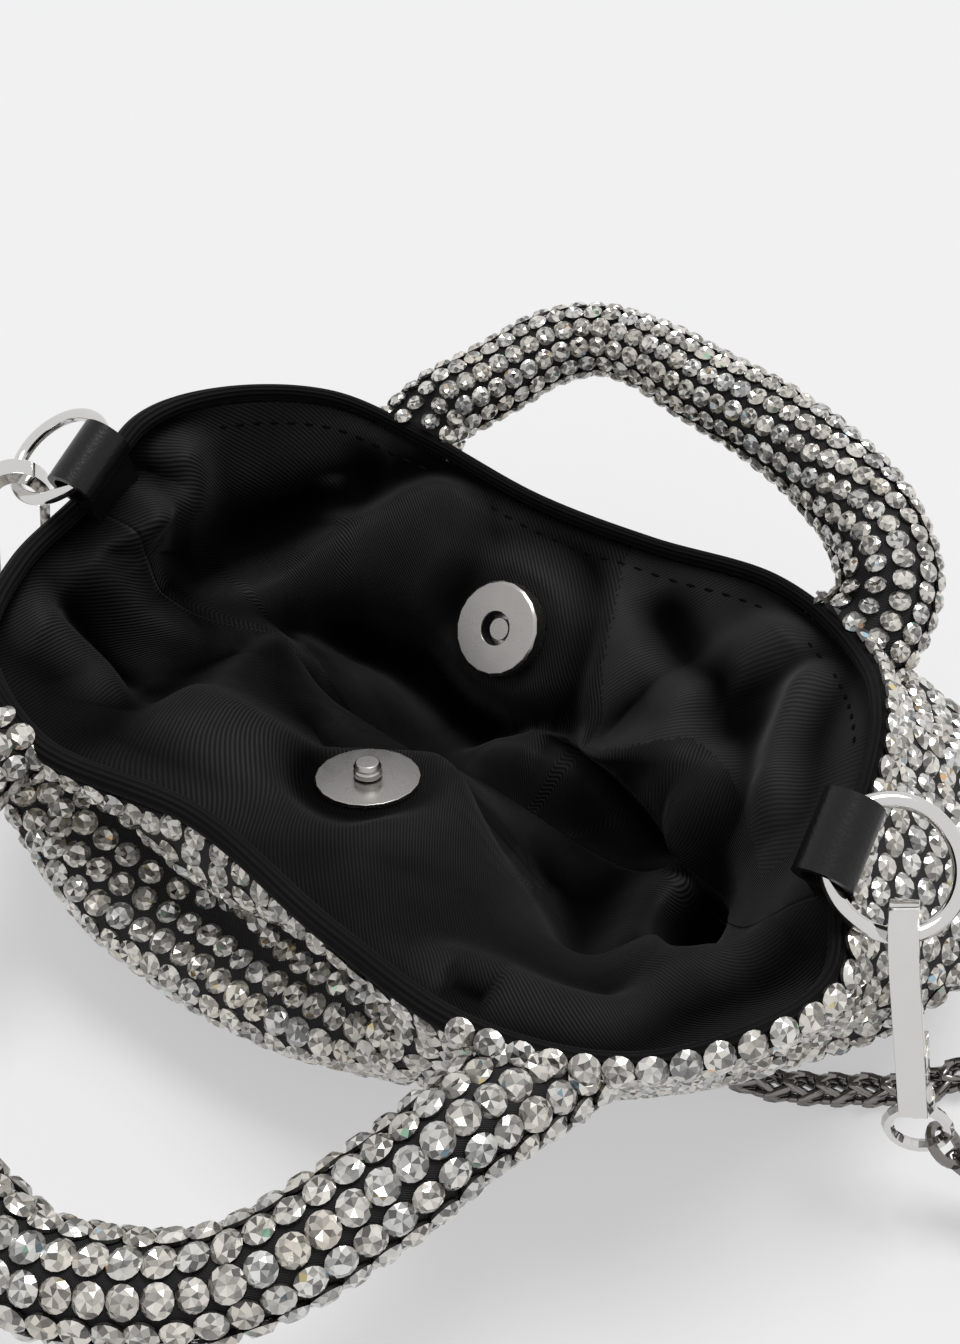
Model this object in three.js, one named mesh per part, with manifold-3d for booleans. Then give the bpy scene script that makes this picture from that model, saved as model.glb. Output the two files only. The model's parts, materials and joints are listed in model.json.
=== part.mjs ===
// A small slouchy evening bag of crystal mesh, standing open with its two tube handles fallen outwards
// and its chain strap clipped to a ring at each side. Millimetres, +Z up, +X to the bag's right tab,
// -Y to its front. The origin is the middle of the footprint of the bag without its chain.
import * as THREE from "three";
import { mergeVertices } from "three/addons/utils/BufferGeometryUtils.js";
import Module from "manifold-3d";

const wasm = await Module();
wasm.setup();

// Clearances and cuts
const touchGap = 0.3; // between two pieces that rest on each other
const seamGap = 0.4; // between the two panels of a sewn seam
const runGap = 0.25; // round a pin or a post that turns
const cutOverrun = 1; // a cut's reach past the face it opens

// The bag lies a little off the middle of its own box, because its front handle reaches further
const bagOffsetX = -4;
const bagOffsetY = 12;

// Crystal mesh body below the rim: half sizes and height of its fullest line
const bodyHalfWidth = 98;
const bodyHalfDepth = 64;
const bulgeHeight = 24;
const baseHalfWidth = 36;
const baseHalfDepth = 46;
const meshWall = 1.8; // mesh backing with its stones
const bottomSeamHalfLength = 26;

// Mouth of the bag: its rim stands inside the body's fullest line, and the height of the side tabs
const mouthInsetSide = 18;
const mouthInsetEnd = 8;
const mouthHalfWidth = bodyHalfWidth - mouthInsetSide;
const mouthHalfDepth = bodyHalfDepth - mouthInsetEnd;
const tabHeight = 66;

// Lining: half sizes and heights of the line through both magnets and of the pouch's floor
const liningWall = 0.8;
const liningHalfWidth = 67;
const liningHalfDepth = 31;
const magnetLineHeight = 33;
const pouchHalfWidth = 50;
const pouchHalfDepth = 20;
const pouchFloorHeight = 15;

// Rolled hem round the rim
const hemRadius = 1.7;
const hemWidthShare = 1.15;

// Handles: crystal mesh tubes over a filler cord
const handleRadius = 7.8;
const handleWall = 2.1;
const handleCordGap = 1.1;
const handleNeckLength = 8; // over which an end is drawn in to the hem
const handleNeckHalfWidth = 3.6;
const handleNeckHalfThickness = 1.9;
const handleNeckSlit = 0.5; // half the opening left in a neck
const handleNeckSlack = 1.8; // beyond the hem's clearance, for the hem's slant
const backHandleReach = 40.3;
const backHandleTilt = 16; // degrees above level
const frontHandleReach = 62.1;
const frontHandleTilt = -12;

// Leather tabs and rings
const strapWidth = 13;
const strapThickness = 1.4;
const strapLoopRadius = 3.3; // inside the fold
const strapTailLength = 9;
const strapTailSlant = 12; // degrees off upright, leaning into the bag
const loopRise = 8.8; // of the fold's middle above the hem's middle
const loopInset = 2.5; // of the fold's middle inwards of the hem's middle
const ringOuterRadius = 11;
const ringBandRadial = 2.1;
const ringBandWidth = 2.6;
const ringBandChamfer = 0.45;

// Swivel snap hooks
const hookInnerRadius = 3.7;
const hookBar = 2.6;
const hookThickness = 4.2;
const ringSlack = 1.3; // between the ring's band and the nose that hangs on it
const hookWindow = 26; // from the nose's middle to the block under the window
const hookBlockHeight = 6;
const gateSlotShare = 0.62; // how far the gate's slot is cut into the block
const hookBlockFlare = 0.8;
const noseTipDrop = 1.2;
const gateBar = 1.9;
const gateThickness = 1.9;
const gateSlotWidth = 2.6;
const pinRadius = 0.6;
const springThickness = 0.3;
const springWidth = 1.4;
const springTravel = 1; // free space behind the spring, for the gate to open into
const postRadius = 1.2;
const postHeadRadius = 2.1;
const postHeadHeight = 0.9;
const collarRadius = 2.9;
const collarHeight = 3.4;
const eyeRadius = 4.6;
const eyeWire = 1;
const linkRadius = 3.2;
const linkWire = 0.8;

// Magnetic snap
const snapRadius = 9.5;
const snapHoleRadius = 3.4;
const snapSeatGap = 0.45; // between a snap and the cloth under it
const snapSkin = 0.5;
const magnetHeight = 2;
const snapBaseHeight = 0.7;
const coreRadius = 2.15;
const coreHeight = 1.3;
const studRadius = 2.6;
const studHeight = 2.7;
const studNeckShare = 0.35;
const studGroove = 0.5;
const maleDiscHeight = 1;
const washerRadius = 7.6;
const prongWidth = 3;
const prongThickness = 0.7;
const prongLength = 3.4;
const prongSpread = 4.6;
const flatSeatRadius = 18; // lining pressed flat round a snap
const flatSeatFade = 9;

// Chain strap
const chainDiameter = 6;
const coilTurnGap = 0.5; // between neighbouring turns
const coilMiddleRadius = 31.2;
const coilAside = 50; // from the body's fullest line to the coil's middle
const coilX = bodyHalfWidth + coilAside;
const coilY = 15;
const coilStartAngle = -90;
const coilEndAngle = 150;
const coilWholeTurns = 3;
const climbTurns = 0.5;

// Materials
const finishes = {
  crystal: new THREE.MeshStandardMaterial({ color: 0xb9b7b2, roughness: 0.25, metalness: 0.7 }),
  lining: new THREE.MeshStandardMaterial({ color: 0x0d0d0e, roughness: 0.6, metalness: 0 }),
  leather: new THREE.MeshStandardMaterial({ color: 0x111112, roughness: 0.4, metalness: 0 }),
  nickel: new THREE.MeshStandardMaterial({ color: 0xd8d6d2, roughness: 0.12, metalness: 1 }),
  satinNickel: new THREE.MeshStandardMaterial({ color: 0xb8b2aa, roughness: 0.35, metalness: 1 }),
  gunmetal: new THREE.MeshStandardMaterial({ color: 0x6f6c68, roughness: 0.2, metalness: 1 }),
  magnet: new THREE.MeshStandardMaterial({ color: 0x2a2a2b, roughness: 0.7, metalness: 0.3 }),
  filler: new THREE.MeshStandardMaterial({ color: 0xd9d6cd, roughness: 0.9, metalness: 0 }),
};

// Closed lines round the bag, read from the left tab over the back to the right tab and along the front.
// Shares of the mouth's half width, its half depth and the tabs' height.
const rimShares = [
  [-0.975, -0.145, 0.875],
  [-1.01, 0.18, 0.945],
  [-0.96, 0.5, 0.91],
  [-0.8, 0.84, 0.81],
  [-0.56, 0.95, 0.72],
  [-0.22, 0.965, 0.66],
  [0.1, 1.0, 0.66],
  [0.42, 1.03, 0.7],
  [0.68, 0.84, 0.76],
  [0.87, 0.4, 0.92],
  [0.975, -0.125, 0.88],
  [1.05, -0.4, 0.855],
  [1.0, -0.64, 0.865],
  [0.83, -0.86, 0.79],
  [0.56, -0.985, 0.755],
  [0.22, -0.95, 0.73],
  [-0.19, -0.865, 0.73],
  [-0.575, -0.95, 0.755],
  [-0.83, -0.81, 0.82],
  [-0.955, -0.49, 0.84],
];
// Shares of the body's half width, half depth and bulge height.
const bulgeShares = [
  [-0.88, -0.12, 1.0],
  [-0.99, 0.25, 0.95],
  [-0.97, 0.56, 0.92],
  [-0.8, 0.83, 0.92],
  [-0.53, 0.94, 0.92],
  [-0.22, 0.97, 0.92],
  [0.1, 0.985, 0.92],
  [0.41, 1.0, 1.0],
  [0.69, 0.98, 1.12],
  [0.94, 0.72, 1.12],
  [1.0, 0.28, 1.08],
  [0.9, -0.1, 0.92],
  [0.775, -0.31, 0.83],
  [0.63, -0.51, 0.72],
  [0.43, -0.72, 0.63],
  [0.14, -0.91, 0.63],
  [-0.14, -0.97, 0.63],
  [-0.42, -0.93, 0.63],
  [-0.62, -0.79, 0.67],
  [-0.78, -0.47, 0.83],
];
// Shares of the base's half width and half depth.
const baseShares = [
  [-1.1, 0.0],
  [-1.11, 0.24],
  [-1.05, 0.5],
  [-0.9, 0.74],
  [-0.66, 0.86],
  [-0.36, 0.9],
  [-0.02, 0.92],
  [0.32, 0.9],
  [0.6, 0.8],
  [0.78, 0.46],
  [0.84, 0.0],
  [0.8, -0.24],
  [0.74, -0.44],
  [0.64, -0.6],
  [0.48, -0.74],
  [0.2, -0.88],
  [-0.2, -0.96],
  [-0.62, -0.94],
  [-0.9, -0.74],
  [-1.05, -0.4],
];
// Shares of the lining's half width, half depth and magnet line height.
const wallShares = [
  [-0.985, -0.2, 1.09],
  [-1.0, 0.26, 1.06],
  [-0.925, 0.65, 1.0],
  [-0.75, 0.9, 0.94],
  [-0.49, 1.0, 0.91],
  [-0.21, 1.0, 0.91],
  [0.09, 1.0, 0.91],
  [0.39, 1.0, 0.94],
  [0.66, 0.77, 0.97],
  [0.865, 0.26, 1.03],
  [0.985, -0.26, 1.12],
  [1.01, -0.58, 1.12],
  [0.925, -0.77, 1.06],
  [0.75, -0.84, 1.0],
  [0.48, -0.77, 0.97],
  [0.18, -0.58, 0.94],
  [-0.12, -0.52, 0.94],
  [-0.45, -0.65, 0.94],
  [-0.75, -0.84, 1.0],
  [-0.925, -0.65, 1.06],
];
// Shares of the pouch floor's half width, half depth and height.
const pouchShares = [
  [-1.0, 0.35, 1.07],
  [-1.0, 0.55, 1.0],
  [-0.92, 0.72, 1.0],
  [-0.74, 0.88, 0.93],
  [-0.48, 0.96, 0.93],
  [-0.2, 1.0, 0.93],
  [0.1, 1.0, 0.93],
  [0.4, 0.96, 0.9],
  [0.7, 0.82, 0.85],
  [0.9, 0.62, 0.9],
  [1.0, 0.35, 1.0],
  [1.0, 0.02, 1.0],
  [0.92, -0.25, 0.95],
  [0.74, -0.36, 0.9],
  [0.48, -0.32, 0.87],
  [0.18, -0.2, 0.87],
  [-0.12, -0.1, 0.87],
  [-0.44, -0.12, 0.87],
  [-0.76, -0.12, 0.93],
  [-0.94, 0.1, 1.0],
];
const pouchSeamShares = { halfWidth: 0.74, depth: 0.35, height: 0.8 };
// Where a point between the base and the bulge lies, as shares of the way out and of the way up.
const undersideShares = { out: 0.32, up: 0.36 };

// A handle's middle line from its left end to its right end: shares of half its spacing, and of the way
// from its ends to its furthest point.
const backHandleShares = [
  [-1.0, 0.0],
  [-0.96, 0.13],
  [-0.9, 0.265],
  [-0.8, 0.54],
  [-0.716, 0.785],
  [-0.557, 0.963],
  [-0.332, 1.0],
  [-0.027, 0.945],
  [0.265, 0.89],
  [0.565, 0.78],
  [0.781, 0.645],
  [0.943, 0.475],
  [1.045, 0.28],
  [1.05, 0.12],
  [1.0, 0.0],
];
const frontHandleShares = [
  [-1.0, 0.0],
  [-1.01, 0.09],
  [-1.0, 0.19],
  [-0.97, 0.35],
  [-0.882, 0.53],
  [-0.755, 0.69],
  [-0.578, 0.825],
  [-0.353, 0.93],
  [-0.12, 0.984],
  [0.1, 1.0],
  [0.25, 0.995],
  [0.414, 0.94],
  [0.578, 0.86],
  [0.71, 0.75],
  [0.794, 0.63],
  [0.865, 0.49],
  [0.93, 0.34],
  [0.975, 0.175],
  [1.0, 0.0],
];

// Tabs and hooks of the two sides. Angles in degrees: yaw turns the tab towards the back, droop lets the
// ring hang, roll lifts the tab's back edge, and lean swings the hook's lower end outwards.
const sides = [
  {
    name: "left", outward: -1, rimShare: 0, yaw: 0, droop: 15,
    roll: 22, lean: 8, pitch: 6, twist: -10, linkTurn: -50,
  },
  {
    name: "right", outward: 1, rimShare: 0.5, yaw: 15, droop: 15,
    roll: 27, lean: 15, pitch: 7, twist: -19, linkTurn: 45,
  },
];

// The chain's two free stretches, laid by hand from the right hook to the coil and from the coil under
// and behind the bag to the left hook. Shares of the body's half width, its half depth and the chain's
// diameter.
const rightStretchShares = [
  [1.2347, -0.2109, 1.3333],
  [1.3061, -0.2812, 0.7667],
];
const longStretchShares = [
  [1.0918, 0.2812, 1.2333],
  [1.0643, 0.1953, 0.7167],
  [1.0255, 0.1094, 0.5],
  [0.9796, 0.0234, 0.5],
  [0.9082, -0.0547, 0.5],
  [0.8316, -0.1328, 0.5],
  [0.7551, -0.1875, 0.5],
  [0.6735, -0.1953, 0.5],
  [0.6173, -0.0938, 0.5],
  [0.602, 0.0625, 0.5],
  [0.6224, 0.2656, 0.5],
  [0.6531, 0.4688, 0.5],
  [0.6531, 0.6719, 0.5],
  [0.5816, 0.8438, 0.5],
  [0.4592, 0.9219, 0.5],
  [0.3061, 0.9375, 0.5],
  [0.1224, 0.9375, 0.5],
  [-0.0612, 0.9375, 0.5],
  [-0.2449, 0.9375, 0.5],
  [-0.4286, 0.9375, 0.5],
  [-0.6122, 0.9219, 0.5],
  [-0.7755, 0.8438, 0.5],
  [-0.9184, 0.6875, 0.5],
  [-1.0306, 0.4688, 0.5],
  [-1.102, 0.2344, 0.5],
  [-1.1327, 0, 0.5333],
  [-1.1173, -0.1484, 0.8333],
];

// Mesh resolution
const panelColumns = 24;
const shellRows = 9;
const liningRows = 8;
const hemSteps = 2 * panelColumns;
const hemSides = 6;
const handleSides = 10;
const handleSteps = 26;
const ringSteps = 30;
const snapSteps = 20;
const wireSteps = 20;
const wireSides = 6;
const arcSteps = 8;
const chainSides = 8;
const chainSpacing = 13; // a step of the plain chain tube
const coilSides = 6;
const coilStepsPerTurn = 24;

const up = new THREE.Vector3(0, 0, 1);
const radians = THREE.MathUtils.degToRad;
const bag = new THREE.Group();

function addMesh(parent, name, geometry, finish) {
  const mesh = new THREE.Mesh(geometry, finishes[finish]);
  mesh.name = name;
  parent.add(mesh);
  return mesh;
}

function bareGeometry(geometry) {
  const bare = new THREE.BufferGeometry();
  bare.setAttribute("position", geometry.getAttribute("position").clone());
  if (geometry.index) bare.setIndex(geometry.index.clone());
  return mergeVertices(bare, 1e-4);
}

function toSolid(geometry) {
  const merged = bareGeometry(geometry);
  return new wasm.Manifold(
    new wasm.Mesh({
      numProp: 3,
      vertProperties: new Float32Array(merged.getAttribute("position").array),
      triVerts: new Uint32Array(merged.index.array),
    }),
  );
}

function toGeometry(solid) {
  const mesh = solid.getMesh();
  const geometry = new THREE.BufferGeometry();
  geometry.setAttribute("position", new THREE.BufferAttribute(new Float32Array(mesh.vertProperties), 3));
  geometry.setIndex(new THREE.BufferAttribute(new Uint32Array(mesh.triVerts), 1));
  geometry.computeVertexNormals();
  return geometry;
}

// A closed surface from points and triangles, turned so that its faces point outwards.
function closedGeometry(points, triangles) {
  let volume = 0;
  for (const [a, b, c] of triangles) {
    volume += points[a].dot(new THREE.Vector3().crossVectors(points[b], points[c]));
  }
  const geometry = new THREE.BufferGeometry().setFromPoints(points);
  geometry.setIndex(triangles.flatMap(([a, b, c]) => (volume < 0 ? [a, c, b] : [a, b, c])));
  geometry.computeVertexNormals();
  return geometry;
}

// A sheet of even thickness: its outer face is surface(u, v) for u in a span and v from 0 to 1.
function sheetGeometry(surface, normalAt, span, columns, rows, thickness, shift) {
  const points = [];
  for (const depth of [0, thickness]) {
    for (let i = 0; i <= columns; i++) {
      for (let j = 0; j <= rows; j++) {
        const u = THREE.MathUtils.lerp(span[0], span[1], i / columns);
        const point = surface(u, j / rows).addScaledVector(normalAt(u, j / rows), -depth);
        points.push(point.add(shift));
      }
    }
  }
  const half = (columns + 1) * (rows + 1);
  const at = (side, i, j) => side * half + i * (rows + 1) + j;
  const triangles = [];
  const quad = (a, b, c, d) => triangles.push([a, b, c], [a, c, d]);
  for (let i = 0; i < columns; i++) {
    for (let j = 0; j < rows; j++) {
      quad(at(0, i, j), at(0, i + 1, j), at(0, i + 1, j + 1), at(0, i, j + 1));
      quad(at(1, i, j), at(1, i, j + 1), at(1, i + 1, j + 1), at(1, i + 1, j));
    }
    quad(at(0, i, 0), at(1, i, 0), at(1, i + 1, 0), at(0, i + 1, 0));
    quad(at(0, i, rows), at(0, i + 1, rows), at(1, i + 1, rows), at(1, i, rows));
  }
  for (let j = 0; j < rows; j++) {
    quad(at(0, 0, j), at(0, 0, j + 1), at(1, 0, j + 1), at(1, 0, j));
    quad(at(0, columns, j), at(1, columns, j), at(1, columns, j + 1), at(0, columns, j + 1));
  }
  return closedGeometry(points, triangles);
}

function normalOf(surface, facing) {
  const stepU = 1 / 500;
  const stepV = 1 / 100;
  return (u, row) => {
    const v = THREE.MathUtils.clamp(row, stepV, 1 - 3 * stepV);
    const alongU = surface(u + stepU, v).sub(surface(u - stepU, v));
    const alongV = surface(u, v + stepV).sub(surface(u, v - stepV));
    const normal = alongU.cross(alongV).multiplyScalar(facing);
    if (row === 0) normal.z = 0; // the edge under the hem is cut level
    return normal.normalize();
  };
}

function closedCurve(rows, sizes) {
  const points = rows.map((row) => new THREE.Vector3(...sizes.map((size, k) => size * (row[k] ?? 0))));
  return new THREE.CatmullRomCurve3(points, true, "centripetal");
}

const wrap = (u) => ((u % 1) + 1) % 1;
const rimCurve = closedCurve(rimShares, [mouthHalfWidth, mouthHalfDepth, tabHeight]);
const bulgeCurve = closedCurve(bulgeShares, [bodyHalfWidth, bodyHalfDepth, bulgeHeight]);
const baseCurve = closedCurve(baseShares, [baseHalfWidth, baseHalfDepth, 0]);
const wallCurve = closedCurve(wallShares, [liningHalfWidth, liningHalfDepth, magnetLineHeight]);
const pouchCurve = closedCurve(pouchShares, [pouchHalfWidth, pouchHalfDepth, pouchFloorHeight]);

function rimOutward(u) {
  const along = rimCurve.getTangent(wrap(u));
  return new THREE.Vector3(-along.y, along.x, 0).normalize();
}

// How far along the bottom seam a point of the closed lines ends: -1 at the left, 1 at the right.
function seamPlace(u) {
  const around = wrap(u);
  return around < 0.5 ? 4 * around - 1 : 3 - 4 * around;
}

const belowHem = hemRadius + touchGap;

function shellPoint(u, v) {
  const top = rimCurve.getPoint(wrap(u)).addScaledVector(rimOutward(u), meshWall + touchGap / 2);
  top.z -= belowHem;
  const bulge = bulgeCurve.getPoint(wrap(u));
  const base = baseCurve.getPoint(wrap(u));
  const under = base.clone().lerp(bulge, undersideShares.out);
  under.z = bulge.z * undersideShares.up;
  const seam = new THREE.Vector3(bottomSeamHalfLength * seamPlace(u), 0, 0);
  const profile = new THREE.CatmullRomCurve3([top, bulge, under, base, seam], false, "centripetal");
  const point = profile.getPoint(v);
  point.z = Math.max(0, point.z);
  return point;
}

function slackLiningPoint(u, v) {
  const top = rimCurve.getPoint(wrap(u)).addScaledVector(rimOutward(u), -liningWall - touchGap / 2);
  top.z -= belowHem;
  const wall = wallCurve.getPoint(wrap(u));
  const floor = pouchCurve.getPoint(wrap(u));
  const seam = new THREE.Vector3(
    pouchHalfWidth * pouchSeamShares.halfWidth * seamPlace(u),
    pouchHalfDepth * pouchSeamShares.depth,
    pouchFloorHeight * pouchSeamShares.height,
  );
  return new THREE.CatmullRomCurve3([top, wall, floor, seam], false, "centripetal").getPoint(v);
}

// The snaps press the lining flat: a seat is a plane through the middle of each snap.
const seats = {
  socket: { u: 0.263, v: 0.33, facing: new THREE.Vector3(-0.15, -0.75, 0.63) },
  stud: { u: 0.796, v: 0.335, facing: new THREE.Vector3(-0.175, 0.246, 0.953) },
};
for (const seat of Object.values(seats)) {
  seat.middle = slackLiningPoint(seat.u, seat.v);
  seat.normal = seat.facing.normalize();
}

function liningPoint(u, v) {
  const point = slackLiningPoint(u, v);
  for (const seat of Object.values(seats)) {
    const away = point.clone().sub(seat.middle);
    const flatReach = flatSeatRadius + flatSeatFade;
    const nearness = 1 - THREE.MathUtils.smoothstep(away.length(), flatSeatRadius, flatReach);
    point.addScaledVector(seat.normal, -away.dot(seat.normal) * nearness);
  }
  return point;
}

// Crystal mesh panels and lining panels, sewn at the sides and along the bottom
const halves = [
  { name: "back", span: [0, 0.5], shift: new THREE.Vector3(0, seamGap / 2, 0) },
  { name: "front", span: [0.5, 1], shift: new THREE.Vector3(0, -seamGap / 2, 0) },
];
const shellNormal = normalOf(shellPoint, 1);
const liningNormal = normalOf(liningPoint, -1);
const liningSolids = {};
for (const { name, span, shift } of halves) {
  const panel = sheetGeometry(shellPoint, shellNormal, span, panelColumns, shellRows, meshWall, shift);
  addMesh(bag, `${name}_mesh_panel`, panel, "crystal");
  const cloth = sheetGeometry(liningPoint, liningNormal, span, panelColumns, liningRows, liningWall, shift);
  liningSolids[name] = toSolid(cloth);
}

// Rolled hem: a closed tube round the rim
function hemGeometry() {
  const points = [];
  for (let i = 0; i < hemSteps; i++) {
    const u = i / hemSteps;
    for (let j = 0; j < hemSides; j++) {
      const angle = (2 * Math.PI * j) / hemSides;
      const point = rimCurve.getPoint(u);
      point.addScaledVector(rimOutward(u), hemRadius * hemWidthShare * Math.cos(angle));
      point.z += hemRadius * Math.sin(angle);
      points.push(point);
    }
  }
  const at = (i, j) => (i % hemSteps) * hemSides + (j % hemSides);
  const triangles = [];
  for (let i = 0; i < hemSteps; i++) {
    for (let j = 0; j < hemSides; j++) {
      triangles.push([at(i, j), at(i + 1, j), at(i + 1, j + 1)], [at(i, j), at(i + 1, j + 1), at(i, j + 1)]);
    }
  }
  return closedGeometry(points, triangles);
}
addMesh(bag, "rolled_hem", hemGeometry(), "lining");

function circleShape(radius, sides) {
  const shape = new THREE.Shape();
  for (let i = 0; i < sides; i++) {
    const angle = (2 * Math.PI * (i + 0.5)) / sides;
    if (i === 0) shape.moveTo(radius * Math.cos(angle), radius * Math.sin(angle));
    else shape.lineTo(radius * Math.cos(angle), radius * Math.sin(angle));
  }
  return shape;
}

function tubeAlong(curve, radius, sides, steps) {
  return new THREE.ExtrudeGeometry(circleShape(radius, sides), { extrudePath: curve, steps });
}

// Handles: each is a mesh tube over a filler cord, drawn in to a flat open neck at each end. It hinges on
// the hem, about the line through the two points of the rim that its ends are sewn to.
const neckStart = hemRadius * hemWidthShare + touchGap + handleNeckSlack;

function handleCurve(shares, halfSpacing, reach) {
  const span = reach - neckStart;
  const points = shares.map(
    ([across, out]) => new THREE.Vector3(across * halfSpacing, neckStart + out * span, 0),
  );
  return new THREE.CatmullRomCurve3(points, false, "centripetal");
}

function shortened(curve, fromEnd, steps) {
  const share = fromEnd / curve.getLength();
  const points = [];
  for (let i = 0; i <= steps; i++) {
    points.push(curve.getPointAt(THREE.MathUtils.lerp(share, 1 - share, i / steps)));
  }
  return new THREE.CatmullRomCurve3(points, false, "centripetal");
}

// Rings of points along a flat curve, as one skin or as an outer and an inner skin joined at their ends
function loftGeometry(curve, steps, sides, skins) {
  const length = curve.getLength();
  const points = [];
  for (const sizeAt of skins) {
    for (let i = 0; i <= steps; i++) {
      const middle = curve.getPointAt(i / steps);
      const side = curve.getTangentAt(i / steps).cross(up).normalize();
      const [halfWidth, halfHeight] = sizeAt((length * Math.min(i, steps - i)) / steps);
      for (let j = 0; j < sides; j++) {
        const angle = (2 * Math.PI * (j + 0.5)) / sides;
        const point = middle.clone().addScaledVector(side, halfWidth * Math.cos(angle));
        points.push(point.addScaledVector(up, halfHeight * Math.sin(angle)));
      }
    }
  }
  const at = (skin, i, j) => (skin * (steps + 1) + i) * sides + (j % sides);
  const triangles = [];
  const quad = (a, b, c, d) => triangles.push([a, b, c], [a, c, d]);
  for (let j = 0; j < sides; j++) {
    for (let i = 0; i < steps; i++) {
      quad(at(0, i, j), at(0, i + 1, j), at(0, i + 1, j + 1), at(0, i, j + 1));
      quad(at(1, i, j), at(1, i, j + 1), at(1, i + 1, j + 1), at(1, i + 1, j));
    }
    quad(at(0, 0, j), at(0, 0, j + 1), at(1, 0, j + 1), at(1, 0, j));
    quad(at(0, steps, j), at(1, steps, j), at(1, steps, j + 1), at(0, steps, j + 1));
  }
  return closedGeometry(points, triangles);
}

function neckSize(fromEnd, halfWidth, halfHeight, radius) {
  const full = THREE.MathUtils.smoothstep(fromEnd, 0, handleNeckLength);
  return [THREE.MathUtils.lerp(halfWidth, radius, full), THREE.MathUtils.lerp(halfHeight, radius, full)];
}

function addHandle(name, shares, reach, tilt, facing, ends) {
  const left = rimCurve.getPoint(ends[0]);
  const right = rimCurve.getPoint(ends[1]);
  const hingeLine = right.clone().sub(left);
  const middle = left.clone().lerp(right, 0.5);
  const outward = new THREE.Vector3(-hingeLine.y, hingeLine.x, 0).multiplyScalar(facing).normalize();
  outward.multiplyScalar(Math.cos(radians(tilt))).addScaledVector(up, Math.sin(radians(tilt)));
  const swing = framedGroup(bag, middle, hingeLine, outward);
  const curve = handleCurve(shares, hingeLine.length() / 2, reach);
  const boreRadius = handleRadius - handleWall;
  const cover = loftGeometry(curve, handleSteps, handleSides, [
    (fromEnd) => neckSize(fromEnd, handleNeckHalfWidth, handleNeckHalfThickness, handleRadius),
    (fromEnd) => neckSize(fromEnd, handleNeckHalfWidth / 2, handleNeckSlit, boreRadius),
  ]);
  addMesh(swing, `${name}_handle_cover`, cover, "crystal");
  const cordCurve = shortened(curve, handleNeckLength + handleCordGap, handleSteps);
  const cord = tubeAlong(cordCurve, boreRadius - handleCordGap, handleSides, handleSteps);
  const cordMesh = addMesh(swing, `${name}_handle_cord`, cord, "filler");
  cordMesh.userData.hinge = { point: middle, axis: hingeLine.normalize().multiplyScalar(facing) };
}
addHandle("back", backHandleShares, backHandleReach, backHandleTilt, 1, [0.188, 0.394]);
addHandle("front", frontHandleShares, frontHandleReach, frontHandleTilt, -1, [0.862, 0.681]);

// A group whose own axes are given by two of the part's directions
function framedGroup(parent, origin, xAxis, yAxis) {
  const group = new THREE.Group();
  const z = new THREE.Vector3().crossVectors(xAxis, yAxis).normalize();
  const y = new THREE.Vector3().crossVectors(z, xAxis).normalize();
  group.quaternion.setFromRotationMatrix(new THREE.Matrix4().makeBasis(xAxis.clone().normalize(), y, z));
  group.position.copy(origin);
  parent.add(group);
  return group;
}

// Leather tab: a strap folded round the ring, its two ends together under the hem's inner side.
// Its outline is drawn across the fold and pushed out along the strap's width.
function tabGeometry() {
  const outer = strapLoopRadius + strapThickness;
  const tailHalf = strapThickness;
  const join = Math.asin(tailHalf / outer);
  const shape = new THREE.Shape();
  shape.absarc(0, 0, outer, -Math.PI + join, Math.PI - join, false);
  shape.lineTo(-outer - strapTailLength, tailHalf);
  shape.lineTo(-outer - strapTailLength, -tailHalf);
  const hole = new THREE.Path();
  hole.absarc(0, 0, strapLoopRadius, 0, 2 * Math.PI, true);
  shape.holes.push(hole);
  const solid = new THREE.ExtrudeGeometry(shape, {
    depth: strapWidth, bevelEnabled: false, curveSegments: 18,
  });
  return solid.translate(0, 0, -strapWidth / 2).rotateX(Math.PI / 2);
}

// Ring: a flat band with chamfered edges, turned round the local Z axis
function ringGeometry() {
  const inner = ringOuterRadius - ringBandRadial;
  const half = ringBandWidth / 2;
  const c = ringBandChamfer;
  const profile = [
    [inner, -half + c],
    [inner + c, -half],
    [ringOuterRadius - c, -half],
    [ringOuterRadius, -half + c],
    [ringOuterRadius, half - c],
    [ringOuterRadius - c, half],
    [inner + c, half],
    [inner, half - c],
    [inner, -half + c],
  ].map(([r, h]) => new THREE.Vector2(r, h));
  return new THREE.LatheGeometry(profile, ringSteps).rotateX(Math.PI / 2);
}

function block(sizeX, sizeY, sizeZ, x, y, z) {
  return new THREE.BoxGeometry(sizeX, sizeY, sizeZ).translate(x, y, z);
}

// Measures of the hook, from the middle of its nose: local Y runs from spine to gate and Z is up
const hookOuter = hookInnerRadius + hookBar;
const blockTop = -hookWindow;
const blockBottom = blockTop - hookBlockHeight;
const pivotY = hookInnerRadius + gateBar / 2 + touchGap;
const pivotZ = blockTop - hookBlockHeight / 3;
const gateTop = -noseTipDrop - touchGap;
const collarTop = blockBottom - touchGap;
const eyeMiddle = collarTop - collarHeight - eyeRadius;
const linkReach = eyeRadius - eyeWire - linkWire - touchGap + linkRadius;

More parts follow.
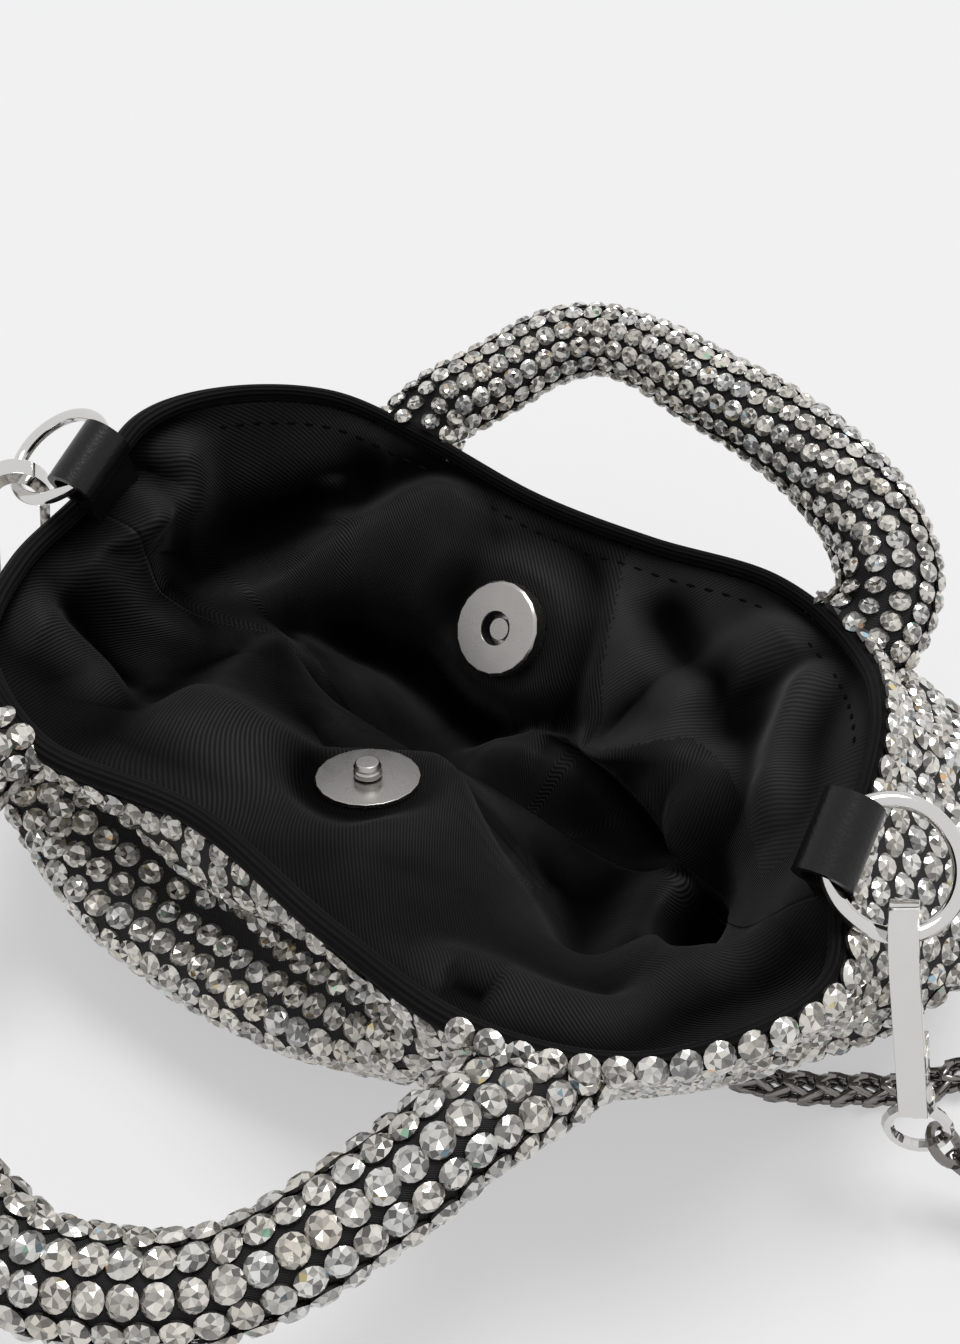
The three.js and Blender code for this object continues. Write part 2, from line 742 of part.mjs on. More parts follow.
function hookFrameGeometry() {
  const shape = new THREE.Shape();
  shape.moveTo(-hookOuter, 0);
  shape.absarc(0, 0, hookOuter, Math.PI, 0, true);
  shape.lineTo(hookOuter, -noseTipDrop);
  shape.lineTo(hookInnerRadius + touchGap, -noseTipDrop);
  shape.lineTo(hookInnerRadius, 0);
  shape.absarc(0, 0, hookInnerRadius, 0, Math.PI, false);
  shape.lineTo(-hookInnerRadius, blockTop);
  shape.lineTo(hookOuter + hookBlockFlare, blockTop);
  shape.lineTo(hookOuter + hookBlockFlare, blockBottom + hookBar);
  shape.lineTo(collarRadius, blockBottom);
  shape.lineTo(-collarRadius, blockBottom);
  shape.lineTo(-hookOuter - hookBlockFlare, blockBottom + hookBar);
  shape.lineTo(-hookOuter - hookBlockFlare, blockTop);
  shape.closePath();
  const bar = new THREE.ExtrudeGeometry(shape, {
    depth: hookThickness, bevelEnabled: false, curveSegments: arcSteps,
  });
  bar.translate(0, 0, -hookThickness / 2);
  bar.applyMatrix4(
    new THREE.Matrix4().makeBasis(new THREE.Vector3(0, 1, 0), up, new THREE.Vector3(1, 0, 0)),
  );
  const slotDepth = 2 * hookBlockHeight;
  const slotInner = pivotY - gateBar / 2 - touchGap - springThickness - springTravel;
  const slotReach = hookOuter + hookBlockFlare + cutOverrun - slotInner;
  const slotHeight = blockTop + slotDepth / 2 - hookBlockHeight * gateSlotShare;
  const slot = block(gateSlotWidth, slotReach, slotDepth, 0, slotInner + slotReach / 2, slotHeight);
  const pinBore = new THREE.CylinderGeometry(
    pinRadius + runGap,
    pinRadius + runGap,
    hookThickness + 2 * cutOverrun,
    arcSteps,
  );
  pinBore.rotateZ(Math.PI / 2).translate(0, pivotY, pivotZ);
  const boreRadius = postRadius + runGap;
  const postBoreLength = hookBlockHeight + 2 * cutOverrun;
  const postBore = new THREE.CylinderGeometry(boreRadius, boreRadius, postBoreLength, arcSteps);
  postBore.rotateX(Math.PI / 2).translate(0, 0, (blockTop + blockBottom) / 2);
  const cuts = [slot, pinBore, postBore];
  return toGeometry(cuts.reduce((solid, cut) => solid.subtract(toSolid(cut)), toSolid(bar)));
}

function gateGeometry() {
  const half = gateBar / 2;
  const shape = new THREE.Shape();
  shape.moveTo(pivotY - half, gateTop);
  shape.lineTo(pivotY - half, pivotZ);
  shape.absarc(pivotY, pivotZ, half, Math.PI, 2 * Math.PI, false);
  shape.lineTo(pivotY + half, gateTop);
  shape.closePath();
  const hole = new THREE.Path();
  hole.absarc(pivotY, pivotZ, pinRadius + runGap / 2, 0, 2 * Math.PI, true);
  shape.holes.push(hole);
  const bar = new THREE.ExtrudeGeometry(shape, {
    depth: gateThickness, bevelEnabled: false, curveSegments: arcSteps,
  });
  bar.translate(0, 0, -gateThickness / 2);
  return bar.applyMatrix4(
    new THREE.Matrix4().makeBasis(new THREE.Vector3(0, 1, 0), up, new THREE.Vector3(1, 0, 0)),
  );
}

// A flat leaf spring stands between the block's slot wall and the gate
function springGeometry() {
  const y = pivotY - gateBar / 2 - touchGap - springThickness / 2;
  const length = hookBlockHeight * 0.9;
  const foot = blockTop - hookBlockHeight * gateSlotShare + touchGap;
  return block(springWidth, springThickness, length, 0, y, foot + length / 2);
}

// Swivel eye: a headed post, a turned collar and a wire eye in one piece
function eyeGeometry() {
  const headBottom = blockTop + touchGap;
  const headTop = headBottom + postHeadHeight;
  const bead = collarHeight / 4;
  const profile = [
    [0, headTop],
    [postHeadRadius * 0.7, headTop],
    [postHeadRadius, headBottom],
    [postRadius, headBottom],
    [postRadius, collarTop],
    [collarRadius, collarTop],
    [collarRadius, collarTop - bead],
    [collarRadius - runGap, collarTop - 2 * bead],
    [collarRadius, collarTop - 3 * bead],
    [collarRadius * 0.6, collarTop - collarHeight],
    [0, collarTop - collarHeight],
  ].map(([r, h]) => new THREE.Vector2(r, h));
  const post = new THREE.LatheGeometry(profile.reverse(), 2 * arcSteps).rotateX(Math.PI / 2);
  const eye = new THREE.TorusGeometry(eyeRadius, eyeWire, wireSides, wireSteps);
  eye.rotateX(Math.PI / 2).translate(0, 0, eyeMiddle);
  return toGeometry(toSolid(post).add(toSolid(eye)));
}

for (const side of sides) {
  const yaw = radians(side.yaw);
  const droop = radians(side.droop);
  const roll = radians(side.roll);
  const level = new THREE.Vector3(side.outward * Math.cos(yaw), Math.sin(yaw), 0);
  const widthwise = new THREE.Vector3(-side.outward * Math.sin(yaw), Math.cos(yaw), 0);
  const hang = level.clone().multiplyScalar(Math.cos(droop)).addScaledVector(up, -Math.sin(droop));
  const lift = level.clone().multiplyScalar(Math.sin(droop)).addScaledVector(up, Math.cos(droop));
  const fold = widthwise.clone().multiplyScalar(Math.cos(roll)).addScaledVector(lift, Math.sin(roll));

  // The tab's fold stands over the hem and its two ends go down inside the mouth
  const seat = rimCurve.getPoint(side.rimShare);
  const loopMiddle = seat.clone().addScaledVector(level, -loopInset).addScaledVector(up, loopRise);
  const slant = radians(strapTailSlant);
  const tabUp = up.clone().multiplyScalar(Math.cos(slant)).addScaledVector(level, Math.sin(slant));
  const tabX = new THREE.Vector3().crossVectors(tabUp, fold).normalize().cross(fold).negate();
  const tabGroup = framedGroup(bag, loopMiddle, tabX, fold);
  addMesh(tabGroup, `${side.name}_leather_tab`, tabGeometry(), "leather");

  // The ring's band passes through the loop, centred on the bow that it makes across the strap
  const bandMiddle = ringOuterRadius - ringBandRadial / 2;
  const bow = bandMiddle - Math.sqrt(bandMiddle ** 2 - (strapWidth / 2) ** 2);
  const ringMiddle = loopMiddle.clone().addScaledVector(hang, bandMiddle - bow / 2);
  const ringGroup = framedGroup(bag, ringMiddle, hang, fold);
  const ring = addMesh(ringGroup, `${side.name}_ring`, ringGeometry(), "nickel");
  ring.userData.hinge = { point: loopMiddle.clone(), axis: fold.clone() };

  // The hook hangs from the lowest point of the ring's band
  const lowest = fold.clone().multiplyScalar(-fold.z).addScaledVector(hang, -hang.z).normalize();
  const wire = ringMiddle.clone().addScaledVector(lowest, bandMiddle);
  const across = new THREE.Vector3().crossVectors(hang, fold);
  const along = new THREE.Vector3().crossVectors(lowest, across).normalize();
  const hookUp = up.clone();
  hookUp.addScaledVector(level, -Math.tan(radians(side.lean)));
  hookUp.addScaledVector(widthwise, Math.tan(radians(side.pitch))).normalize();
  const turn = Math.atan2(along.y, along.x) - side.outward * (Math.PI / 2) + radians(side.twist);
  const gateward = new THREE.Vector3(Math.cos(turn), Math.sin(turn), 0);
  gateward.addScaledVector(hookUp, -gateward.dot(hookUp)).normalize();
  const thickness = new THREE.Vector3().crossVectors(gateward, hookUp);
  const noseDrop = hookInnerRadius - ringBandRadial / 2 - ringSlack;
  const noseMiddle = wire.clone().addScaledVector(hookUp, -noseDrop);
  const hookGroup = framedGroup(bag, noseMiddle, thickness, gateward);
  const frame = addMesh(hookGroup, `${side.name}_hook_frame`, hookFrameGeometry(), "nickel");
  frame.userData.hinge = { point: wire.clone(), axis: along.clone() };
  const gate = addMesh(hookGroup, `${side.name}_hook_gate`, gateGeometry(), "nickel");
  const pin = new THREE.CylinderGeometry(pinRadius, pinRadius, hookThickness, arcSteps);
  pin.rotateZ(Math.PI / 2).translate(0, pivotY, pivotZ);
  addMesh(hookGroup, `${side.name}_gate_pin`, pin, "nickel");
  addMesh(hookGroup, `${side.name}_gate_spring`, springGeometry(), "satinNickel");
  const eye = addMesh(hookGroup, `${side.name}_swivel_eye`, eyeGeometry(), "nickel");
  const linkTurn = radians(side.linkTurn);
  const linkDown = new THREE.Vector3(Math.sin(linkTurn), 0, -Math.cos(linkTurn));
  const linkMiddle = new THREE.Vector3(0, 0, eyeMiddle).addScaledVector(linkDown, linkReach);
  const linkGroup = framedGroup(hookGroup, linkMiddle, linkDown, new THREE.Vector3(0, 1, 0));
  const link = new THREE.TorusGeometry(linkRadius, linkWire, wireSides, wireSteps);
  addMesh(linkGroup, `${side.name}_end_link`, link, "gunmetal");
  hookGroup.updateMatrixWorld(true);
  const linkEnd = linkMiddle.clone().addScaledVector(linkDown, linkRadius + linkWire + touchGap);
  side.chainStart = [linkEnd, linkEnd.clone().addScaledVector(linkDown, chainDiameter)];
  side.chainStart = side.chainStart.map((point) => hookGroup.localToWorld(point.clone()).toArray());
  gate.userData.hinge = {
    point: hookGroup.localToWorld(new THREE.Vector3(0, pivotY, pivotZ)),
    axis: thickness.clone(),
  };
  const eyePlace = hookGroup.localToWorld(new THREE.Vector3(0, 0, eyeMiddle));
  eye.userData.hinge = { point: eyePlace, axis: hookUp.clone() };
}

// Magnetic snap: each half is built along its own Z axis on the lining's flat seat
function turned(profile, steps) {
  const points = profile.map(([r, h]) => new THREE.Vector2(r, h));
  return new THREE.LatheGeometry(points, steps).rotateX(Math.PI / 2);
}

function disc(radius, bottom, top) {
  return turned([[0, bottom], [radius, bottom], [radius, top], [0, top]], snapSteps);
}

function prongBlocks(grow, top) {
  const length = prongLength + top;
  const solids = [];
  for (const end of [-1, 1]) {
    const size = [prongWidth, prongThickness, length].map((side) => side + 2 * grow);
    const bar = block(...size, 0, end * prongSpread, top - length / 2);
    solids.push(toSolid(bar));
  }
  return solids[0].add(solids[1]);
}

function seatGroup(seat) {
  const along = new THREE.Vector3(1, 0, 0).addScaledVector(seat.normal, -seat.normal.x).normalize();
  const across = new THREE.Vector3().crossVectors(seat.normal, along);
  const lifted = seat.middle.clone().addScaledVector(seat.normal, snapSeatGap);
  return framedGroup(bag, lifted, along, across);
}

function throughSlots(group, solid) {
  group.updateMatrixWorld(true);
  const cut = toGeometry(prongBlocks(touchGap, snapBaseHeight)).applyMatrix4(group.matrixWorld);
  return solid.subtract(toSolid(cut));
}

const socket = seatGroup(seats.socket);
const stud = seatGroup(seats.stud);
const magnetBottom = snapBaseHeight + touchGap;
const magnetTop = magnetBottom + magnetHeight;
const capTop = magnetTop + touchGap + snapSkin;
const magnetRadius = snapRadius - snapSkin - touchGap;
const washerTop = -liningWall - 2 * snapSeatGap;
const plateRadius = magnetRadius;

const socketPlate = toSolid(disc(plateRadius, 0, snapBaseHeight)).add(prongBlocks(0, snapBaseHeight / 2));
addMesh(socket, "snap_socket_plate", toGeometry(socketPlate), "satinNickel");
const magnetProfile = [
  [snapHoleRadius, magnetBottom],
  [magnetRadius, magnetBottom],
  [magnetRadius, magnetTop],
  [snapHoleRadius, magnetTop],
  [snapHoleRadius, magnetBottom],
];
addMesh(socket, "snap_magnet", turned(magnetProfile, snapSteps), "magnet");
addMesh(socket, "snap_core", disc(coreRadius, magnetBottom, magnetBottom + coreHeight), "satinNickel");
const capProfile = [
  [snapRadius - snapSkin, 0],
  [snapRadius, 0],
  [snapRadius, capTop - snapSkin],
  [snapRadius - snapSkin, capTop],
  [snapHoleRadius, capTop],
  [snapHoleRadius, capTop - snapSkin],
  [snapRadius - snapSkin, capTop - snapSkin],
  [snapRadius - snapSkin, 0],
];
addMesh(socket, "snap_socket_cap", turned(capProfile, snapSteps), "satinNickel");

const studPlate = toSolid(disc(snapRadius, 0, maleDiscHeight)).add(prongBlocks(0, maleDiscHeight / 2));
addMesh(stud, "snap_stud_plate", toGeometry(studPlate), "satinNickel");
const studBottom = maleDiscHeight + touchGap;
const studProfile = [
  [0, studBottom],
  [studRadius, studBottom],
  [studRadius, studBottom + studHeight * studNeckShare],
  [studRadius - studGroove, studBottom + studHeight * 0.5],
  [studRadius, studBottom + studHeight * 0.65],
  [studRadius - studGroove, studBottom + studHeight],
  [0, studBottom + studHeight],
];
addMesh(stud, "snap_stud", turned(studProfile, snapSteps), "satinNickel");

for (const [name, group] of [["socket", socket], ["stud", stud]]) {
  const washer = toSolid(disc(washerRadius, washerTop - snapBaseHeight, washerTop));
  const slots = prongBlocks(touchGap, snapBaseHeight);
  addMesh(group, `snap_${name}_washer`, toGeometry(washer.subtract(slots)), "satinNickel");
}
addMesh(bag, "back_lining_panel", toGeometry(throughSlots(socket, liningSolids.back)), "lining");
addMesh(bag, "front_lining_panel", toGeometry(throughSlots(stud, liningSolids.front)), "lining");

// Chain strap: plain tubes for the free stretches and one unbroken tube for the coil
function laidPoints(shares) {
  const sizes = [bodyHalfWidth, bodyHalfDepth, chainDiameter];
  return shares.map((row) => row.map((share, k) => share * sizes[k]));
}

function pointsCurve(rows) {
  return new THREE.CatmullRomCurve3(rows.map((row) => new THREE.Vector3(...row)), false, "centripetal");
}

// The coil spirals in on the floor, climbs a layer over half a turn and spirals out again on top
const coilPitch = chainDiameter + coilTurnGap;
const totalTurns = coilWholeTurns + (coilEndAngle - coilStartAngle) / 360;
const layerTurns = totalTurns / 2;

function coilPoint(turns) {
  const radius = coilMiddleRadius + coilPitch * (Math.abs(turns - layerTurns) - layerTurns / 2);
  const climbStart = layerTurns - climbTurns / 2;
  const climbed = THREE.MathUtils.smoothstep(turns, climbStart, climbStart + climbTurns);
  const angle = radians(coilStartAngle) + 2 * Math.PI * turns;
  const height = chainDiameter / 2 + coilPitch * climbed;
  return new THREE.Vector3(coilX + radius * Math.cos(angle), coilY + radius * Math.sin(angle), height);
}

const coilSteps = Math.round(coilStepsPerTurn * totalTurns);

function coilGeometry() {
  const points = [];
  for (let i = 0; i <= coilSteps; i++) {
    const turns = (totalTurns * i) / coilSteps;
    const middle = coilPoint(turns);
    const ahead = coilPoint(turns + 1e-3).sub(coilPoint(turns - 1e-3)).normalize();
    const side = new THREE.Vector3().crossVectors(ahead, up).normalize();
    const over = new THREE.Vector3().crossVectors(side, ahead);
    for (let j = 0; j < coilSides; j++) {
      const angle = (2 * Math.PI * j) / coilSides;
      const point = middle.clone().addScaledVector(side, (Math.cos(angle) * chainDiameter) / 2);
      points.push(point.addScaledVector(over, (Math.sin(angle) * chainDiameter) / 2));
    }
  }
  const triangles = [];
  const at = (i, j) => i * coilSides + (j % coilSides);
  for (let i = 0; i < coilSteps; i++) {
    for (let j = 0; j < coilSides; j++) {
      triangles.push([at(i, j), at(i + 1, j), at(i + 1, j + 1)], [at(i, j), at(i + 1, j + 1), at(i, j + 1)]);
    }
  }
  for (let j = 1; j < coilSides - 1; j++) {
    triangles.push([at(0, 0), at(0, j), at(0, j + 1)]);
    triangles.push([at(coilSteps, 0), at(coilSteps, j + 1), at(coilSteps, j)]);
  }
  return closedGeometry(points, triangles);
}

// The least gap between two turns, measured on points of the coil's middle line
function leastCoilGap() {
  const count = 10 * coilSteps;
  const line = [];
  for (let i = 0; i <= count; i++) line.push(coilPoint((totalTurns * i) / count));
  const halfTurn = Math.round(count / totalTurns / 2);
  let least = Infinity;
  for (let i = 0; i < line.length; i++) {
    for (let j = i + halfTurn; j < line.length; j++) least = Math.min(least, line[i].distanceTo(line[j]));
  }
  return least - chainDiameter;
}
console.log(`least gap between turns of the coil: ${leastCoilGap().toFixed(2)} mm`);

function stretchGeometry(curve) {
  const steps = Math.max(4, Math.round(curve.getLength() / chainSpacing));
  return tubeAlong(curve, chainDiameter / 2, chainSides, steps);
}

// A stretch ends square to the coil, with the gap between two pieces that touch
function coilEnd(turns, away) {
  const end = coilPoint(turns);
  const ahead = coilPoint(turns + 1e-3).sub(coilPoint(turns - 1e-3)).normalize();
  const steps = [touchGap, chainDiameter, 2 * chainDiameter];
  return steps.map((far) => end.clone().addScaledVector(ahead, away * far).toArray());
}

const entry = coilEnd(0, -1).reverse();
const exit = coilEnd(totalTurns, 1);
const strap = new THREE.Group();
const [leftStart, rightStart] = sides.map((side) => side.chainStart);
const rightCurve = pointsCurve([...rightStart, ...laidPoints(rightStretchShares), ...entry.slice(1)]);
const longCurve = pointsCurve([...exit, ...laidPoints(longStretchShares), ...leftStart.reverse()]);
addMesh(strap, "chain_right_stretch", stretchGeometry(rightCurve), "gunmetal");
addMesh(strap, "chain_coil", coilGeometry(), "gunmetal");
addMesh(strap, "chain_long_stretch", stretchGeometry(longCurve), "gunmetal");
bag.add(strap);
const coilLength = totalTurns * 2 * Math.PI * coilMiddleRadius;
const strapLength = rightCurve.getLength() + longCurve.getLength() + coilLength;
console.log(`length of the chain strap: ${strapLength.toFixed(0)} mm`);

bag.position.set(bagOffsetX, bagOffsetY, 0);

export default bag;
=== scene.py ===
# %% [markdown]
# An evening bag of crystal mesh, worked out as surfaces
#
# The bag is a soft cup of black mesh with faceted crystals set on it in rows. Two padded tubes of the
# same mesh are its handles. Inside hangs a black satin lining with a magnetic snap, and a braided
# chain strap is clipped to a ring at each side. Nearly all of it is repetition on a curved surface, so
# each piece below is a formula of two parameters, worked out as whole arrays.

# %% Load the fixed frame
import json
import math

import bmesh
import bpy
import numpy as np
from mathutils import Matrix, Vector


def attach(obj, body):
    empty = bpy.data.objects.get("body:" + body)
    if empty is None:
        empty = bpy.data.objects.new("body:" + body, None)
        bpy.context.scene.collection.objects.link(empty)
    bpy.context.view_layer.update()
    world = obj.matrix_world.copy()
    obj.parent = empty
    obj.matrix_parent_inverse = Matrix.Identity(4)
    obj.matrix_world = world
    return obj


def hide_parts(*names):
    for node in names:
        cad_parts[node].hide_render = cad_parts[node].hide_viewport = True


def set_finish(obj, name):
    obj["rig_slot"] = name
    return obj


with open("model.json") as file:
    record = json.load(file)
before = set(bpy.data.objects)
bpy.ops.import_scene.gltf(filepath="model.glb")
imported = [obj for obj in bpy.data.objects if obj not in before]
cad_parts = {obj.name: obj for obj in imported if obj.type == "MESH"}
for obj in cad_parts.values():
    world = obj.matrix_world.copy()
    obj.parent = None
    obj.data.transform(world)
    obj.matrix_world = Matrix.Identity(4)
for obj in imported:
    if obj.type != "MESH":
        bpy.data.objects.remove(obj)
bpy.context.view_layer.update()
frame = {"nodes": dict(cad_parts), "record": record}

# %% [markdown]
# The arithmetic is in millimetres, as a bag maker works. A mesh is only turned into metres when it is
# handed over to Blender. The bag's own middle lies a little to one side of the frame's origin.

# %% Units and places
METRES = 0.001
BAG_MIDDLE = np.array([-4.0, 12.0, 0.0])
TURN = 2 * math.pi
UP = np.array([0.0, 0.0, 1.0])


def unit(vectors):
    """Each vector divided by its own length."""
    vectors = np.asarray(vectors, float)
    return vectors / np.maximum(np.linalg.norm(vectors, axis=-1, keepdims=True), 1e-9)


def smooth_step(x, low, high):
    """0 below low, 1 above high, and 3 s^2 - 2 s^3 of the share s between them."""
    s = np.clip((np.asarray(x, float) - low) / (high - low), 0, 1)
    return s * s * (3 - 2 * s)


# %% [markdown]
# The camera stands close to the bag and looks down into its mouth, over its right front. Its place was
# worked out from the sizes of things in the picture: the two halves of the snap, the rows of stones
# near and far, and the curve of the rim.

# %% Camera
CAMERA_TARGET = Vector((-5.0, 23.0, 40.0)) * METRES
CAMERA_PLACE = Vector((107.9, -135.3, 241.4)) * METRES
PICTURE_HEIGHT_MM = 36.0
LENS_MM = 40.85
NEAREST_SEEN_MM = 5.0

camera_data = bpy.data.cameras.new("photo_camera")
camera_data.sensor_fit = "VERTICAL"
camera_data.sensor_height = PICTURE_HEIGHT_MM
camera_data.lens = LENS_MM
camera_data.clip_start = NEAREST_SEEN_MM * METRES
camera = bpy.data.objects.new("photo_camera", camera_data)
camera.location = CAMERA_PLACE
camera.rotation_euler = (CAMERA_TARGET - CAMERA_PLACE).to_track_quat("-Z", "Y").to_euler()
bpy.context.scene.collection.objects.link(camera)
bpy.context.scene.camera = camera
print("camera distance:", round((CAMERA_TARGET - CAMERA_PLACE).length / METRES), "mm")

# %% [markdown]
# A smooth line through a few chosen points is the base of every shape here. The spacing of the points
# sets how fast the line runs between them (centripetal Catmull-Rom), so that uneven points make no
# loops. The function takes many such lines at once, which makes a surface out of a family of profiles.

# %% Splines
NO_GAP = 1e-4
HALF_PROBE = 0.3
FINE_STEPS = 400


def spline(points, shares, closed=False):
    """Points of the smooth line at the given shares of its length in steps: between two neighbours it is
    a cubic, whose slopes at both ends are weighed by the square roots of the distances round them."""
    points = np.asarray(points, float)
    shares = np.atleast_1d(np.asarray(shares, float))
    count = points.shape[-2]
    if closed:
        place = (shares % 1.0) * count
        start = np.floor(place).astype(int) % count
        weight = place - np.floor(place)
        corners = [points[..., (start + k) % count, :] for k in (-1, 0, 1, 2)]
    else:
        place = np.clip(shares, 0, 1) * (count - 1)
        start = np.minimum(np.floor(place).astype(int), count - 2)
        weight = place - start
        before = 2 * points[..., :1, :] - points[..., 1:2, :]
        after = 2 * points[..., -1:, :] - points[..., -2:-1, :]
        padded = np.concatenate([before, points, after], axis=-2)
        corners = [padded[..., start + k, :] for k in range(4)]
    a, b, c, d = corners
    gaps = [np.sqrt(np.linalg.norm(q - p, axis=-1, keepdims=True)) for p, q in ((a, b), (b, c), (c, d))]
    middle = np.maximum(gaps[1], NO_GAP)
    first = np.where(gaps[0] < NO_GAP, middle, gaps[0])
    last = np.where(gaps[2] < NO_GAP, middle, gaps[2])
    slope_b = ((b - a) / first - (c - a) / (first + middle) + (c - b) / middle) * middle
    slope_c = ((c - b) / middle - (d - b) / (middle + last) + (d - c) / last) * middle
    w = weight[:, None]
    return (
        b + slope_b * w
        + (3 * (c - b) - 2 * slope_b - slope_c) * w**2
        + (2 * (b - c) + slope_b + slope_c) * w**3
    )


def line_lengths(points):
    """Distance walked along a line of points, up to each of them."""
    steps = np.linalg.norm(np.diff(points, axis=0), axis=1)
    return np.concatenate([[0], np.cumsum(steps)])


def read_off(distances, walked, points):
    """Places at some distances along a line, from its points and the distance walked up to each."""
    return np.stack([np.interp(distances, walked, points[:, k]) for k in range(3)], axis=1)


def even_line(points, spacing, from_start=0.0):
    """Points at an even spacing along a line of points, with the line's direction at each."""
    walked = line_lengths(points)
    places = np.arange(from_start, walked[-1], spacing)
    after = read_off(places + HALF_PROBE, walked, points)
    before = read_off(places - HALF_PROBE, walked, points)
    return read_off(places, walked, points), unit(after - before), places


# %% [markdown]
# A mesh is filled from arrays: all corner places in one call, then all faces. The faces of a grid are
# found by counting, and each corner of a face can carry a place on the cloth (u, v), so that a weave
# follows the surface and does not depend on where the bag stands.

# %% From arrays to meshes
def new_piece(name, points_mm, faces, smooth=True, cloth_places=None):
    """A mesh object from points and a list of face arrays, each array with one count of corners."""
    faces = [np.asarray(f, int) for f in faces if len(f)]
    corners = np.concatenate([f.ravel() for f in faces])
    counts = np.concatenate([np.full(len(f), f.shape[1]) for f in faces])
    mesh = bpy.data.meshes.new(name)
    mesh.vertices.add(len(points_mm))
    mesh.vertices.foreach_set("co", (np.asarray(points_mm, float) * METRES).ravel())
    mesh.loops.add(len(corners))
    mesh.loops.foreach_set("vertex_index", corners)
    mesh.polygons.add(len(counts))
    mesh.polygons.foreach_set("loop_start", np.concatenate([[0], np.cumsum(counts)[:-1]]))
    mesh.polygons.foreach_set("use_smooth", np.full(len(counts), smooth))
    if cloth_places is not None:
        layer = mesh.uv_layers.new(name="cloth")
        layer.data.foreach_set("uv", np.asarray(cloth_places, float).ravel())
    mesh.update(calc_edges=True)
    mesh.validate()
    piece = bpy.data.objects.new(name, mesh)
    bpy.context.scene.collection.objects.link(piece)
    return piece


def grid_faces(rows, columns, rows_close=False, columns_close=False):
    """Four-cornered faces of a grid of points, counted row by row, with the steps of their corners."""
    i, j = np.meshgrid(
        np.arange(rows if rows_close else rows - 1),
        np.arange(columns if columns_close else columns - 1),
        indexing="ij",
    )
    i, j = i.ravel(), j.ravel()
    step_i = np.stack([i, i + 1, i + 1, i], axis=1)
    step_j = np.stack([j, j, j + 1, j + 1], axis=1)
    return (step_i % rows) * columns + step_j % columns, step_i, step_j


def grid_piece(name, points_mm, places, rows_close=False, columns_close=False, flip=False):
    """A piece from a grid of points (rows, columns, 3). places gives (u, v) of each row and column."""
    rows, columns = points_mm.shape[:2]
    faces, step_i, step_j = grid_faces(rows, columns, rows_close, columns_close)
    cloth = places(step_i, step_j)
    if flip:
        faces = faces[:, ::-1]
        cloth = cloth[:, ::-1]
    return new_piece(name, points_mm.reshape(-1, 3), [faces], cloth_places=cloth)


def even_places(round_mm, down_mm):
    """Cloth places for a grid with one step round and one step down."""
    return lambda i, j: np.stack([i * round_mm, j * down_mm], axis=2) * METRES


def walked_places(round_mm, down_mm):
    """Cloth places for a grid, from the distance round to each row and down to each point."""
    return lambda i, j: np.stack([round_mm[i], down_mm[i, j]], axis=2) * METRES


def half_columns(half, columns, step=1):
    """The columns of a closed grid that make its back or its front half, both edges included."""
    start = 0 if half == "back" else columns // 2
    return (np.arange(0, columns // 2 + 1, step) + start) % columns


def thicken(piece, thickness_mm):
    """Gives a sheet its thickness, all of it behind the face."""
    thickness = piece.modifiers.new("cloth_thickness", "SOLIDIFY")
    thickness.thickness = thickness_mm * METRES
    thickness.offset = -1.0


def tube_points(line, sides, radius, closed=False, across=UP):
    """Rings of points round a line: middle + radius (cos a side + sin a over). The first axis of the rings,
    side, is square to the line and to the direction across."""
    if closed:
        ahead = unit(np.roll(line, -1, axis=0) - np.roll(line, 1, axis=0))
    else:
        ahead = unit(np.gradient(line, axis=0))
    side = unit(np.cross(ahead, across))
    over = np.cross(side, ahead)
    angles = np.arange(sides)[None, :, None] * TURN / sides
    radius = np.broadcast_to(np.asarray(radius, float), (len(line),))[:, None, None]
    return line[:, None] + radius * (np.cos(angles) * side[:, None] + np.sin(angles) * over[:, None])


def set_down(shape, places, x, y, z):
    """Copies of a shape's points, one at each place: place + x, y and z of the point times the copy's own
    three directions."""
    return (
        places[:, None]
        + shape[..., :1] * x[:, None]
        + shape[..., 1:2] * y[:, None]
        + shape[..., 2:] * z[:, None]
    )


def copied_faces(faces, copies, corners):
    """Faces of all copies of a shape: from copy to copy the numbers go up by the shape's count of corners."""
    shift = (np.arange(copies) * corners)[:, None, None]
    return (faces[None] + shift).reshape(-1, faces.shape[1])


# %% [markdown]
# The bag's own lines
#
# Closed lines run round the bag from the left tab over the back to the right tab and along the front:
# the rim, the fullest line of the slouched body, and the outline of the part that lies on the table.
# They are kept as shares of the bag's half width, half depth and height. A profile down the wall goes
# through one point of each, to the seam where the mesh is gathered under the bag.

# %% Rim, bulge and base
MOUTH_SIZE = (80.0, 56.0, 66.0)
BODY_SIZE = (98.0, 64.0, 24.0)
BASE_SIZE = (36.0, 46.0, 0.0)
LINING_SIZE = (67.0, 31.0, 33.0)
POUCH_SIZE = (50.0, 20.0, 15.0)
MESH_WALL = 1.8
LINING_WALL = 0.8
TOUCH = 0.3
HEM_RADIUS = 1.7
UNDER_SHARE = 0.32
UNDER_HEIGHT = 0.36
BASE_SEAM = (26.0, 0.0, 0.0)
POUCH_SEAM = (37.0, 7.0, 12.0)
TINY_SHARE = 1e-4

